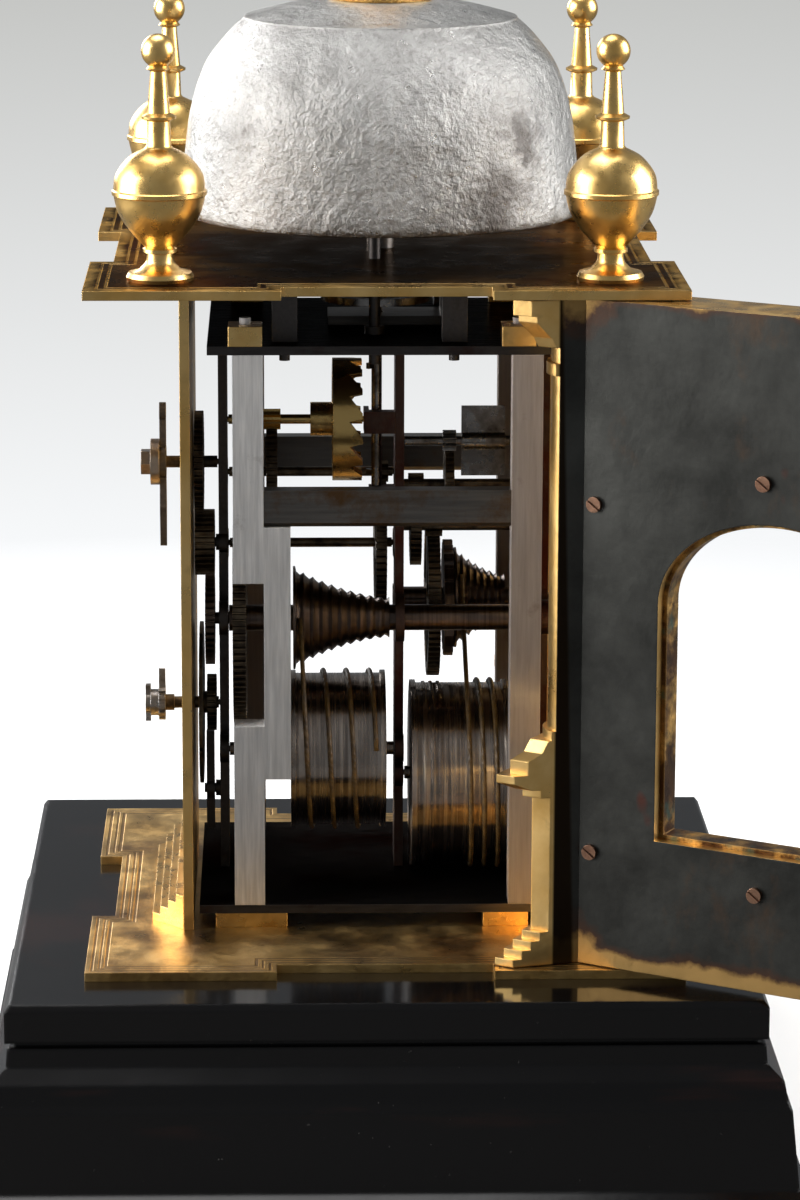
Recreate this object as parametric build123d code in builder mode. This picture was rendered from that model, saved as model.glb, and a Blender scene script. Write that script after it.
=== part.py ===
from build123d import *
import math
import os

os.makedirs("parts", exist_ok=True)

# Tabernacle clock, in millimetres, resting on Z = 0 with its dial side towards -Y.
# Heights called "level" are counted from the top of the base plate.

# Base and case
wood_height = 60.0
wood_half = 96.0
plate_thickness = 2.4
base_plate_half = 77.6
top_plate_half = 76.0
corner_block = 49.5
plate_recess = 6.1
case_height = 174.5
case_half_x = 41.0
case_half_y = 52.8
wall_thickness = 2.6
moulding_reach = 8.5
step_rise = 2.3
step_count = 4
mitre_gap = 0.3
deck = wood_height + plate_thickness
roof = case_height + plate_thickness

# Doors
door_thickness = 3.0
door_gap = 0.35
right_open_angle = 149.3
left_open_angle = 93.0
pivot_inset = 6.0
draw_travel = 19.8
pin_radius = 1.5
pin_fit = 0.05
pin_in_plate = 1.4
pin_in_door = 3.4
window_half = 31.5
window_sill = 36.0
window_spring = 98.0
window_rise = 23.6
window_frame_lap = 1.2
window_frame_width = 5.0
window_frame_depth = 6.5
column_radius = 9.2
pedestal_half = 9.6
pedestal_flare = 6.8
column_offset = 4.3
screw_radius = 2.0
screw_head = 1.1

# Finials and bell
finial_place = 57.0
finial_height = 62.0
bell_rim_radius = 52.8
bell_wall = 3.0
bell_lift = 9.6
bell_rise = 56.5
stand_radius = 2.0
stand_shoulder_radius = 3.6

# Movement frame
foot_height = 4.2
frame_plate_thickness = 2.3
frame_half_x = 40.0
frame_half_y = 48.6
frame_top_half_y = 45.7
frame_height = 152.6
post_size = 8.0
post_front = 39.2
post_back = 33.4
pivot_bar_width = 14.0
pivot_bar_thickness = 2.4
front_bar_y = -42.2
middle_bar_y = 5.2
rear_bar_y = 44.2
bar_x = -3.0
floor_top = foot_height + frame_plate_thickness
ceiling = foot_height + frame_height - frame_plate_thickness
arbor_radius = 1.3
pivot_radius = 0.8
pivot_fit = 0.06

# Trains: wheel centres as (x, level), tooth counts, and one tooth size
tooth_module = 0.6
great_teeth = 92
second_teeth = 66
third_teeth = 54
pinion_leaves = 8
strike_teeth = 70
pin_wheel_teeth = 34
warning_teeth = 34
driver_teeth = 40
idler_teeth = 28
hour_teeth = 44
count_teeth = 24
crown_teeth = 15
going_centre = (8.5, 77.5)
strike_centre = (-17.5, 77.0)
going_barrel_centre = (8.0, 41.0)
strike_barrel_centre = (4.5, 33.2)
hour_centre = (0.0, 118.7)
count_centre = (0.0, 52.0)
mesh_slack = 0.12
pivot_end_play = 0.3
gut_radius = 0.65


def level(height):
    """A horizontal plane at a height above the base plate."""
    return Plane.XY.offset(deck + height)


def across(y):
    """An upright plane at y, seen from the dial side: sketches are (x, level)."""
    return Plane(origin=(0, y, deck), x_dir=(1, 0, 0), z_dir=(0, -1, 0))


def save(piece, name):
    """Label a finished piece and write it."""
    piece.part.label = name
    export_step(piece.part, "parts/" + name + ".step")


def pitch_radius(teeth):
    return tooth_module * teeth / 2


def beyond(centre, radius, angle):
    """The point at a distance and angle from a centre."""
    turn = math.radians(angle)
    return (centre[0] + radius * math.cos(turn), centre[1] + radius * math.sin(turn))


def mesh_distance(first_teeth, next_teeth):
    return pitch_radius(first_teeth) + pitch_radius(next_teeth) + mesh_slack


def mesh_phase(centre, teeth, phase, other_centre, other_teeth):
    """The turn in degrees that puts a gap of the other wheel at a tooth of this one."""
    line = math.degrees(math.atan2(other_centre[1] - centre[1], other_centre[0] - centre[0]))
    return line + 180 - (phase - line) * teeth / other_teeth + 180 / other_teeth


def tooth_points(teeth, phase, thickness=0.36):
    """The outline of a wheel with plain straight-sided teeth."""
    pitch = 360 / teeth
    root = pitch_radius(teeth) - 1.25 * tooth_module
    tip = pitch_radius(teeth) + 0.8 * tooth_module
    points = []
    for tooth in range(teeth):
        middle = phase + tooth * pitch
        points.append(beyond((0, 0), root, middle - 1.25 * thickness * pitch / 2))
        points.append(beyond((0, 0), tip, middle - 0.4 * thickness * pitch / 2))
        points.append(beyond((0, 0), tip, middle + 0.4 * thickness * pitch / 2))
        points.append(beyond((0, 0), root, middle + 1.25 * thickness * pitch / 2))
    return points


def wheel(centre, teeth, phase, back, thickness, arms=4):
    """A wheel whose back face is at y = back, crossed out if it is large."""
    with BuildPart() as body:
        with BuildSketch(across(back)):
            with BuildLine():
                Polyline(*tooth_points(teeth, phase), close=True)
            make_face()
        extrude(amount=thickness)
        if pitch_radius(teeth) > 9 and arms:
            rim = pitch_radius(teeth) - 1.25 * tooth_module - 2.2
            with BuildSketch(across(back)):
                Circle(rim)
                Circle(4.4, mode=Mode.SUBTRACT)
                with PolarLocations(rim / 2, arms):
                    Rectangle(rim + 1, 2.6, mode=Mode.SUBTRACT)
            extrude(amount=thickness, mode=Mode.SUBTRACT)
    return body.part.moved(Location((centre[0], 0, centre[1])))


def rod(centre, radius, back, front):
    """A round bar along Y."""
    with BuildPart() as body:
        with BuildSketch(across(back)):
            with Locations(centre):
                Circle(radius)
        extrude(amount=back - front)
    return body.part


def arbor(centre, back_bar, front_bar, radius=arbor_radius):
    """An arbor between two pivot bars, with a thin pivot in each."""
    back = back_bar - pivot_bar_thickness / 2
    front = front_bar + pivot_bar_thickness / 2
    with BuildPart() as body:
        add(rod(centre, radius, back - pivot_end_play, front + pivot_end_play))
        add(rod(centre, pivot_radius, back + pivot_bar_thickness, front - pivot_bar_thickness))
    return body.part


def square_stack(centre, sections, plane_at):
    """Square mouldings through (half size, level) pairs, ruled between them."""
    with BuildPart() as body:
        for (low_half, low), (high_half, high) in zip(sections, sections[1:]):
            if high - low < 0.01:
                continue
            with BuildSketch(plane_at(low)):
                with Locations(centre):
                    Rectangle(2 * low_half, 2 * low_half)
            with BuildSketch(plane_at(high)):
                with Locations(centre):
                    Rectangle(2 * high_half, 2 * high_half)
            loft(ruled=True)
    return body.part


# Wood base: an ebonised block with a bevelled slab over a deep moulding
with BuildPart() as wood_base:
    base_profile = (
        (wood_half + 12, -deck),
        (wood_half + 12, 10 - deck),
        (wood_half + 9, 12 - deck),
        (wood_half + 7, 33 - deck),
        (wood_half + 6, 35 - deck),
        (wood_half + 5, 40 - deck),
        (wood_half + 1, 43.5 - deck),
        (wood_half + 0.6, 48.5 - deck),
        (wood_half - 1, 48.6 - deck),
        (wood_half - 1, 50 - deck),
        (wood_half + 1.2, 50.1 - deck),
        (wood_half + 1.2, wood_height - 1.6 - deck),
        (wood_half, wood_height - deck),
    )
    add(square_stack((0, 0), base_profile, level))
save(wood_base, "wood_base")


def case_plate(half, height):
    """A square plate with projecting corner blocks and recessed middles."""
    with BuildPart() as body:
        with BuildSketch(level(height)):
            Rectangle(2 * (half - plate_recess), 2 * (half - plate_recess))
            with GridLocations(2 * half - corner_block, 2 * half - corner_block, 2, 2):
                Rectangle(corner_block, corner_block)
        extrude(amount=plate_thickness)
    return body.part


pivot_x = case_half_x + pivot_inset
pivot_y = case_half_y
slot_middle = pivot_x + draw_travel / 2
slot_length = draw_travel + 2 * (pin_radius + pin_fit)


def pin_slots(height, depth):
    """The blind slots that the door pins slide in."""
    with BuildPart() as body:
        with BuildSketch(level(height)):
            with Locations((slot_middle, pivot_y), (-slot_middle, pivot_y)):
                SlotOverall(slot_length, 2 * (pin_radius + pin_fit))
        extrude(amount=depth)
    return body.part


slot_depth = pin_in_plate + 0.3
with BuildPart() as base_plate:
    add(case_plate(base_plate_half, -plate_thickness))
    add(pin_slots(-slot_depth, slot_depth), mode=Mode.SUBTRACT)
save(base_plate, "base_plate")

leg_x = 30.0
leg_places = ((leg_x, -25.6), (leg_x, 18.6), (-leg_x, -25.6), (-leg_x, 18.6))
leg_size = 6.6
hammer_x = 21.0
hammer_y = -2.0
hammer_rod = 1.5
with BuildPart() as top_plate:
    add(case_plate(top_plate_half, case_height))
    add(pin_slots(case_height, slot_depth), mode=Mode.SUBTRACT)
    with BuildSketch(level(case_height)):
        with Locations((hammer_x, hammer_y)):
            Circle(hammer_rod + pin_fit)
        Circle(stand_radius)
    extrude(amount=plate_thickness, mode=Mode.SUBTRACT)
save(top_plate, "top_plate")

# Front and back walls with their holes for the hand arbors
hand_arbor_radius = 1.6
winding_radius = 3.5
for name, wall_back in (("front_plate", wall_thickness - case_half_y), ("back_plate", case_half_y)):
    with BuildPart() as wall:
        with BuildSketch(across(wall_back)):
            with Locations((0, case_height / 2)):
                Rectangle(2 * case_half_x, case_height)
            if name == "front_plate":
                holes = (hour_centre, count_centre)
                hole_radius = hand_arbor_radius + 0.2
            else:
                holes = (going_centre, strike_centre)
                hole_radius = winding_radius
            with Locations(*holes):
                Circle(hole_radius, mode=Mode.SUBTRACT)
        extrude(amount=wall_thickness)
    save(wall, name)

# Stepped base mouldings and small cornices on the front and back, mitred at both ends
step_tread = moulding_reach / step_count
step_line = [(0, 0)]
for step in range(step_count):
    step_line.append((moulding_reach - step * step_tread, step * step_rise))
    step_line.append((moulding_reach - step * step_tread, (step + 1) * step_rise))
step_line.append((0, step_count * step_rise))
small_cornice = 2.5
cornice_line = (
    (0, case_height - 5),
    (1, case_height - 5),
    (small_cornice, case_height - 2.4),
    (small_cornice, case_height),
    (0, case_height),
)
mitre_corner = case_half_x - mitre_gap


def case_moulding(end, line):
    """A moulding along the front (-1) or back (1), mitred at both ends."""
    with BuildPart() as strip:
        with BuildSketch(Plane.YZ.offset(-case_half_x)):
            with BuildLine():
                Polyline(*[(end * (case_half_y + out), deck + up) for out, up in line], close=True)
            make_face()
        extrude(amount=2 * case_half_x)
        with BuildSketch(level(0)):
            for side in (-1, 1):
                with BuildLine():
                    Polyline(
                        (side * mitre_corner, end * case_half_y),
                        (side * (mitre_corner - 20), end * (case_half_y + 20)),
                        (side * (mitre_corner + 20), end * (case_half_y + 20)),
                        (side * (mitre_corner + 20), end * case_half_y),
                        close=True,
                    )
                make_face()
        extrude(amount=case_height, mode=Mode.SUBTRACT)
    return strip.part


for line, name in ((step_line, "case_base_mouldings"), (cornice_line, "case_cornices")):
    with BuildPart() as mouldings:
        add(case_moulding(-1, line))
        add(case_moulding(1, line))
    save(mouldings, name)

# Corner finials, turned
ball_radius = 4.3
with BuildPart() as finial_blank:
    with BuildSketch(Plane.XZ):
        with BuildLine():
            Polyline((0, 0), (8.4, 0), (8.6, 0.9), (8.0, 2.0), (5.4, 2.7))
            Spline((5.4, 2.7), (3.6, 4.6), (3.3, 6.8))
            Polyline((3.3, 6.8), (4.3, 7.1), (4.3, 8.0), (3.8, 8.3))
            Spline((3.8, 8.3), (7.6, 12.6), (10.4, 17.0), (11.6, 21.4))
            Polyline((11.6, 21.4), (12.0, 21.7), (12.0, 22.7), (11.6, 23.0))
            Spline((11.6, 23.0), (10.9, 27.0), (7.6, 31.2), (3.6, 33.4))
            Polyline((3.6, 33.4), (3.1, 34.0), (2.9, 40.2), (4.3, 40.8), (4.4, 41.4), (2.9, 42.2))
            Line((2.9, 42.2), (2.0, 52.6))
            Polyline((2.0, 52.6), (3.0, 53.2), (2.4, 54.6), (0, 54.6), (0, 0))
        make_face()
    revolve(axis=Axis.Z)
    with Locations((0, 0, finial_height - ball_radius)):
        Sphere(ball_radius)
with BuildPart() as finials:
    with Locations((0, 0, deck + roof)):
        with GridLocations(2 * finial_place, 2 * finial_place, 2, 2):
            add(finial_blank.part)
save(finials, "corner_finials")

# Bell on its stand, with a gilt nut
rim_level = roof + bell_lift
crown_level = rim_level + bell_rise
outside = (
    (bell_rim_radius - 0.2, rim_level),
    (bell_rim_radius, rim_level + 3.5),
    (bell_rim_radius - 1.2, rim_level + 17),
    (bell_rim_radius - 2.8, rim_level + 28),
    (bell_rim_radius - 6.5, rim_level + 39),
    (bell_rim_radius - 12.0, rim_level + 46.5),
    (bell_rim_radius - 16.5, rim_level + 50.8),
)
with BuildPart() as bell:
    with BuildSketch(across(0)):
        with BuildLine():
            Spline(*outside)
            Polyline(
                outside[-1],
                (bell_rim_radius - 17.5, rim_level + 51.8),
                (bell_rim_radius - 19.5, rim_level + 52.2),
                (20, crown_level - 1.2),
                (stand_radius + pin_fit, crown_level),
                (stand_radius + pin_fit, crown_level - bell_wall),
                (20, crown_level - 1.2 - bell_wall),
                (bell_rim_radius - 20.5, rim_level + 50.8 - bell_wall),
            )
            Spline(*[(radius - bell_wall, height - 0.04 * (height - rim_level)) for radius, height in outside])
            Line((outside[-1][0] - bell_wall, outside[-1][1] - 0.04 * 50.8),
                 (bell_rim_radius - 20.5, rim_level + 50.8 - bell_wall))
            Line((outside[0][0] - bell_wall, rim_level), outside[0])
        make_face()
    revolve(axis=Axis((0, 0, 0), (0, 0, 1)))
save(bell, "bell")

nut_height = 16.0
with BuildPart() as bell_stand:
    with BuildSketch(level(case_height)):
        Circle(stand_radius)
    extrude(amount=crown_level + 8 - case_height)
    with BuildSketch(level(roof)):
        Circle(stand_shoulder_radius)
    extrude(amount=crown_level - bell_wall - 0.15 - roof)
save(bell_stand, "bell_stand")

with BuildPart() as bell_nut:
    with BuildSketch(across(0)):
        with BuildLine():
            Polyline(
                (stand_radius + pin_fit, crown_level),
                (13.0, crown_level - 0.6),
                (13.2, crown_level + 0.8),
                (6.0, crown_level + 2.2),
                (3.6, crown_level + 4.0),
            )
            Spline((3.6, crown_level + 4.0), (6.4, crown_level + 9), (3.0, crown_level + nut_height - 2))
            Polyline(
                (3.0, crown_level + nut_height - 2),
                (0, crown_level + nut_height),
                (0, crown_level + 8.2),
                (stand_radius + pin_fit, crown_level + 8.2),
                (stand_radius + pin_fit, crown_level),
            )
        make_face()
    revolve(axis=Axis((0, 0, 0), (0, 0, 1)))
save(bell_nut, "bell_nut")

# Doors: each turns on two pins that also slide out along a slot in the case plates
door_low = door_gap
door_high = case_height - door_gap
inner_face = case_half_x + door_gap
outer_face = inner_face + door_thickness
column_x = case_half_x + column_offset
column_y = case_half_y + 1.3
lip_half = pedestal_half + pedestal_flare
cap_half = pedestal_half + 4.4
flare_step = pedestal_flare / step_count
pedestal_sections = []
for step in range(step_count):
    half = pedestal_half + pedestal_flare - step * flare_step
    pedestal_sections.append((half, max(door_low, step * step_rise)))
    pedestal_sections.append((half, (step + 1) * step_rise))
pedestal_top = 45.1
pedestal_sections += [
    (pedestal_half, step_count * step_rise),
    (pedestal_half, pedestal_top),
    (pedestal_half + 1.8, pedestal_top),
    (pedestal_half + 1.8, 47.3),
    (pedestal_half + 3.4, 47.3),
    (lip_half, 49.3),
    (lip_half, 51.4),
    (pedestal_half + 4.2, 51.4),
    (pedestal_half + 4.2, 55.0),
    (pedestal_half + 1.6, 57.0),
    (pedestal_half + 0.4, 60.2),
]
neck_low = 162.0
cap_sections = (
    (pedestal_half - 0.3, neck_low),
    (pedestal_half + 0.6, 164.5),
    (pedestal_half + 2.4, 167.0),
    (cap_half - 1.0, 168.6),
    (cap_half - 1.0, 170.2),
    (cap_half, 170.2),
    (cap_half, door_high),
)

for side, side_name, open_angle in ((1, "right", right_open_angle), (-1, "left", left_open_angle)):
    turn = math.radians(side * open_angle)
    leaf = Plane(
        origin=(side * (pivot_x + draw_travel), pivot_y, deck),
        x_dir=(math.cos(turn), math.sin(turn), 0),
        z_dir=(0, 0, 1),
    )
    leaf_face = Plane(origin=leaf.origin, x_dir=leaf.y_dir, z_dir=leaf.x_dir)
    leaf_end = Plane(origin=leaf.origin, x_dir=leaf.x_dir, z_dir=-leaf.y_dir)

    def shut(x, y):
        """A place on the shut door, as this leaf's own sketch point."""
        return (side * (x - pivot_x), y - pivot_y)

    def leaf_level(height):
        return leaf.offset(height)

    def face_at(x):
        return leaf_face.offset(side * (x - pivot_x))

    def window_block(margin, x, depth):
        """The arched opening as a solid, wider by a margin all round."""
        with BuildPart() as body:
            with BuildSketch(face_at(x)):
                with Locations((-pivot_y, window_spring)):
                    Ellipse(window_half + margin, window_rise + margin)
                    Rectangle(
                        2 * (window_half + margin),
                        window_spring - window_sill + margin,
                        align=(Align.CENTER, Align.MAX),
                    )
            extrude(amount=side * depth)
        return body.part

    # Panel with an arched window
    screw_places = (
        (case_half_y - 3.2, 30.6),
        (case_half_y - 3.2, 122.0),
        (3.0, 26.0),
        (3.0, 132.0),
        (3.2 - case_half_y, 30.6),
        (3.2 - case_half_y, 122.0),
    )
    with BuildPart() as panel:
        with BuildSketch(leaf_level(door_low)):
            with Locations(shut((inner_face + outer_face) / 2, 0)):
                Rectangle(door_thickness, 2 * case_half_y)
        extrude(amount=door_high - door_low)
        add(window_block(0, inner_face, door_thickness), mode=Mode.SUBTRACT)
        with BuildSketch(face_at(inner_face)):
            with Locations(*[(y - pivot_y, height) for y, height in screw_places]):
                Circle(screw_radius / 2)
        extrude(amount=side * door_thickness, mode=Mode.SUBTRACT)
    save(panel, side_name + "_door_panel")

    # Moulded frame on the outside of the window
    with BuildPart() as frame:
        add(window_block(window_frame_width, outer_face, window_frame_depth / 2))
        add(window_block(window_frame_width - 2, outer_face, window_frame_depth))
        add(window_block(-window_frame_lap, outer_face, window_frame_depth), mode=Mode.SUBTRACT)
    save(frame, side_name + "_window_frame")

    # Base moulding and cornice between the pedestals
    foot_points = [(out, max(up, door_low)) for out, up in step_line]
    head_points = [(0, neck_low), (2.5, neck_low), (4.5, 165), (9.5, 168.6), (9.5, 170.2)]
    head_points += [(13.5, 170.2), (13.5, door_high), (0, door_high)]
    with BuildPart() as mouldings:
        for points, reach in (
            (foot_points, column_y - lip_half - 0.1),
            (head_points, column_y - cap_half - 0.1),
        ):
            with BuildSketch(leaf_end.offset(-(reach - pivot_y))):
                with BuildLine():
                    Polyline(*[(side * (outer_face + out - pivot_x), up) for out, up in points], close=True)
                make_face()
            extrude(amount=2 * reach)
    save(mouldings, side_name + "_door_mouldings")

    # Corner columns on pedestals, cut to wrap the case corner
    for end, end_name in ((-1, "front"), (1, "back")):
        middle = shut(column_x, end * column_y)
        with BuildPart() as column:
            add(square_stack(middle, pedestal_sections, leaf_level))
            add(square_stack(middle, cap_sections, leaf_level))
            for radius, low, high in (
                (pedestal_half + 0.8, 60.2, 62.6),
                (column_radius, 62.6, neck_low),
                (column_radius + 1.2, 154.8, 157.9),
            ):
                with BuildSketch(leaf_level(low)):
                    with Locations(middle):
                        Circle(radius)
                extrude(amount=high - low)
            with BuildSketch(leaf_level(0)):
                with BuildLine():
                    Polyline(
                        shut(outer_face, 0),
                        shut(outer_face, end * case_half_y),
                        shut(inner_face, end * case_half_y),
                        shut(inner_face - 60, end * (case_half_y + 60)),
                        shut(inner_face - 60, 0),
                        close=True,
                    )
                make_face()
            extrude(amount=case_height, mode=Mode.SUBTRACT)
            if end == 1:
                for low, high in ((door_low, pin_in_door + 0.3), (case_height - pin_in_door - 0.3, door_high)):
                    with BuildSketch(leaf_level(low)):
                        Circle(pin_radius + pin_fit)
                    extrude(amount=high - low, mode=Mode.SUBTRACT)
        save(column, side_name + "_" + end_name + "_column")

    # Slotted screws through the panel
    with BuildPart() as screws:
        for y, height in screw_places:
            with BuildSketch(face_at(inner_face)):
                with Locations((y - pivot_y, height)):
                    Circle(screw_radius / 2 - 0.02)
            extrude(amount=side * door_thickness)
            with BuildSketch(face_at(inner_face)):
                with Locations((y - pivot_y, height)):
                    Circle(screw_radius)
            extrude(amount=-side * screw_head)
            with BuildSketch(face_at(inner_face - screw_head)):
                with Locations((y - pivot_y, height)):
                    Rectangle(2 * screw_radius, 0.6, rotation=35)
            extrude(amount=side * 0.5, mode=Mode.SUBTRACT)
    save(screws, side_name + "_door_screws")

    # Two pivot pins, one in each plate's slot
    with BuildPart() as pins:
        for low, high in (
            (-pin_in_plate, pin_in_door),
            (case_height - pin_in_door, case_height + pin_in_plate),
        ):
            with BuildSketch(leaf_level(low)):
                Circle(pin_radius)
            extrude(amount=high - low)
    save(pins, side_name + "_door_pins")

# Movement frame
with BuildPart() as frame_feet:
    for x_side in (1, -1):
        for y_low, y_high in ((-44.3, -25.3), (26.8, 38.8)):
            with BuildSketch(level(0)):
                with Locations((x_side * (frame_half_x - 5), (y_low + y_high) / 2)):
                    Rectangle(8, y_high - y_low)
            extrude(amount=foot_height)
save(frame_feet, "movement_feet")

with BuildPart() as frame_bottom:
    with BuildSketch(level(foot_height)):
        Rectangle(2 * frame_half_x, 2 * frame_half_y)
    extrude(amount=frame_plate_thickness)
save(frame_bottom, "movement_bottom_plate")


def meeting_point(first, first_distance, other, other_distance):
    """The point at given distances from two centres, on the left of the line between them."""
    span = math.dist(first, other)
    along = (first_distance**2 - other_distance**2 + span**2) / (2 * span)
    aside = math.sqrt(first_distance**2 - along**2)
    line = math.degrees(math.atan2(other[1] - first[1], other[0] - first[0]))
    return beyond(beyond(first, along, line), aside, line + 90)


# Train centres, each wheel meshing with the pinion of the next arbor
second_centre = beyond(going_centre, mesh_distance(great_teeth, pinion_leaves), 150)
third_centre = beyond(second_centre, mesh_distance(second_teeth, pinion_leaves), 72)
crown_centre = beyond(third_centre, mesh_distance(third_teeth, pinion_leaves), 60)
pin_wheel_centre = beyond(strike_centre, mesh_distance(strike_teeth, pinion_leaves), 69)
warning_centre = beyond(pin_wheel_centre, mesh_distance(pin_wheel_teeth, pinion_leaves), 76)
fly_centre = beyond(warning_centre, mesh_distance(warning_teeth, pinion_leaves), 77)
idler_centre = meeting_point(
    going_centre,
    mesh_distance(driver_teeth, idler_teeth),
    hour_centre,
    mesh_distance(idler_teeth, hour_teeth),
)
verge_x = crown_centre[0]
verge_y = -0.9
verge_radius = 1.4

# Frame top plate, pierced for the posts' studs, the hanging legs, the verge and the hammer
post_x = frame_half_x - post_size / 2
stud_radius = 1.5
stud_front = -35.8
stud_back = 35.0
stud_places = ((post_x, stud_front), (-post_x, stud_front), (post_x, stud_back), (-post_x, stud_back))
tenon_radius = 1.4
with BuildPart() as frame_top:
    with BuildSketch(level(ceiling)):
        Rectangle(2 * frame_half_x, 2 * frame_top_half_y)
        with Locations((verge_x, verge_y)):
            Circle(verge_radius + 0.3, mode=Mode.SUBTRACT)
        with Locations((hammer_x, hammer_y)):
            Circle(hammer_rod + pin_fit, mode=Mode.SUBTRACT)
        with Locations(*leg_places):
            Circle(tenon_radius + pin_fit, mode=Mode.SUBTRACT)
        with Locations(*stud_places):
            Circle(stud_radius + pin_fit, mode=Mode.SUBTRACT)
    extrude(amount=frame_plate_thickness)
save(frame_top, "movement_top_plate")

# Corner posts with threaded studs: the near front one is cranked to clear the great wheel
jog_shift = 7.0
upper_low = 94.0
lower_high = 55.5
jog_low = 41.0
jog_high = 109.0
frame_top_face = ceiling + frame_plate_thickness
stud_top = frame_top_face + 7.0
straight_y = -post_front + post_size / 2
jog_y = -post_front + post_size + jog_shift / 2
with BuildPart() as cranked_post:
    for low, high, y, width in (
        (floor_top, lower_high, straight_y, post_size),
        (jog_low, jog_high, jog_y, jog_shift),
        (upper_low, ceiling, straight_y, post_size),
    ):
        with BuildSketch(level(low)):
            with Locations((post_x, y)):
                Rectangle(post_size, width)
        extrude(amount=high - low)
    with BuildSketch(level(ceiling)):
        with Locations((post_x, stud_front)):
            Circle(stud_radius)
    extrude(amount=stud_top - ceiling)
save(cranked_post, "post_front_right")
back_y = post_back + post_size / 2
with BuildPart() as plain_posts:
    with BuildSketch(level(floor_top)):
        with Locations((-post_x, straight_y), (post_x, back_y), (-post_x, back_y)):
            Rectangle(post_size, post_size)
    extrude(amount=ceiling - floor_top)
    with BuildSketch(level(ceiling)):
        with Locations((-post_x, stud_front), (post_x, stud_back), (-post_x, stud_back)):
            Circle(stud_radius)
    extrude(amount=stud_top - ceiling)
save(plain_posts, "plain_posts")

# Square nuts on the studs
nut_size = 8.8
nut_thickness = 5.2
with BuildPart() as frame_nuts:
    with BuildSketch(level(frame_top_face)):
        with Locations(*stud_places):
            Rectangle(nut_size, nut_size)
            Circle(stud_radius + pin_fit, mode=Mode.SUBTRACT)
    extrude(amount=nut_thickness)
save(frame_nuts, "movement_nuts")

# Side bars between the posts, chamfered along their lower edges
bar_high = 118.8
bar_depth = 5.0
bar_front = -post_front + post_size
bar_middle = frame_half_x - 0.3 - bar_depth / 2
with BuildPart() as side_bars:
    with BuildSketch(level(jog_high)):
        with Locations((0, (bar_front + post_back) / 2)):
            with GridLocations(2 * bar_middle, 0, 2, 1):
                Rectangle(bar_depth, post_back - bar_front)
    extrude(amount=bar_high - jog_high)
    chamfer(side_bars.edges().filter_by(Axis.Y).group_by(Axis.Z)[0], 1.2)
save(side_bars, "side_bars")

# Legs that hang the movement from the case top, each tenon cross-pinned below the frame plate
cross_pin_radius = 0.7
with BuildPart() as legs:
    with BuildSketch(level(frame_top_face)):
        with Locations(*leg_places):
            Rectangle(leg_size, leg_size)
    extrude(amount=case_height - frame_top_face)
    with BuildSketch(level(ceiling - 3)):
        with Locations(*leg_places):
            Circle(tenon_radius)
    extrude(amount=3 + frame_plate_thickness)
    for x, y in leg_places:
        with BuildSketch(across(y + 4)):
            with Locations((x, ceiling - cross_pin_radius - 0.1)):
                Circle(cross_pin_radius)
        extrude(amount=8)
save(legs, "hanging_legs")

# Three upright pivot bars carry the arbors, with the studs and the potence on them
going_shaft_radius = 3.5
strike_shaft_radius = 3.0
winding_pivot = 1.6
fine = pivot_radius + pivot_fit
front_face = front_bar_y - pivot_bar_thickness / 2
front_inside = front_bar_y + pivot_bar_thickness / 2
middle_front = middle_bar_y - pivot_bar_thickness / 2
middle_back = middle_bar_y + pivot_bar_thickness / 2
rear_inside = rear_bar_y - pivot_bar_thickness / 2
rear_face = rear_bar_y + pivot_bar_thickness / 2


def pivot_bar(y, holes):
    """An upright bar with a boss and an arm for each (centre, hole radius)."""
    with BuildPart() as body:
        with BuildSketch(across(y + pivot_bar_thickness / 2)):
            with Locations((bar_x, (floor_top + ceiling) / 2)):
                Rectangle(pivot_bar_width, ceiling - floor_top)
            for centre, radius in holes:
                with Locations(centre):
                    Circle(radius + 3.0)
                with Locations(((bar_x + centre[0]) / 2, centre[1])):
                    Rectangle(abs(centre[0] - bar_x) + 0.1, 5.6)
            for centre, radius in holes:
                if radius > 0:
                    with Locations(centre):
                        Circle(radius, mode=Mode.SUBTRACT)
        extrude(amount=pivot_bar_thickness)
    return body.part


idler_back = -44.5
idler_length = 5.3
lever_centre = (bar_x, 27.0)
lever_back = -45.0
lever_thickness = 2.2
going_arbors = (second_centre, third_centre, going_barrel_centre)
strike_arbors = (pin_wheel_centre, warning_centre, fly_centre, strike_barrel_centre)
front_holes = [(centre, fine) for centre in going_arbors + (crown_centre, hour_centre, count_centre)]
front_holes += [(going_centre, winding_pivot + pivot_fit), (idler_centre, 0)]
with BuildPart() as front_bar:
    add(pivot_bar(front_bar_y, front_holes))
    for centre, shoulder, end in (
        (idler_centre, idler_back + 0.3, idler_back - idler_length - 0.1),
        (lever_centre, lever_back + 0.3, lever_back - lever_thickness - 0.6),
    ):
        add(rod(centre, arbor_radius, front_face, end))
        add(rod(centre, 2.2, front_face, shoulder))
save(front_bar, "front_pivot_bar")

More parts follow.
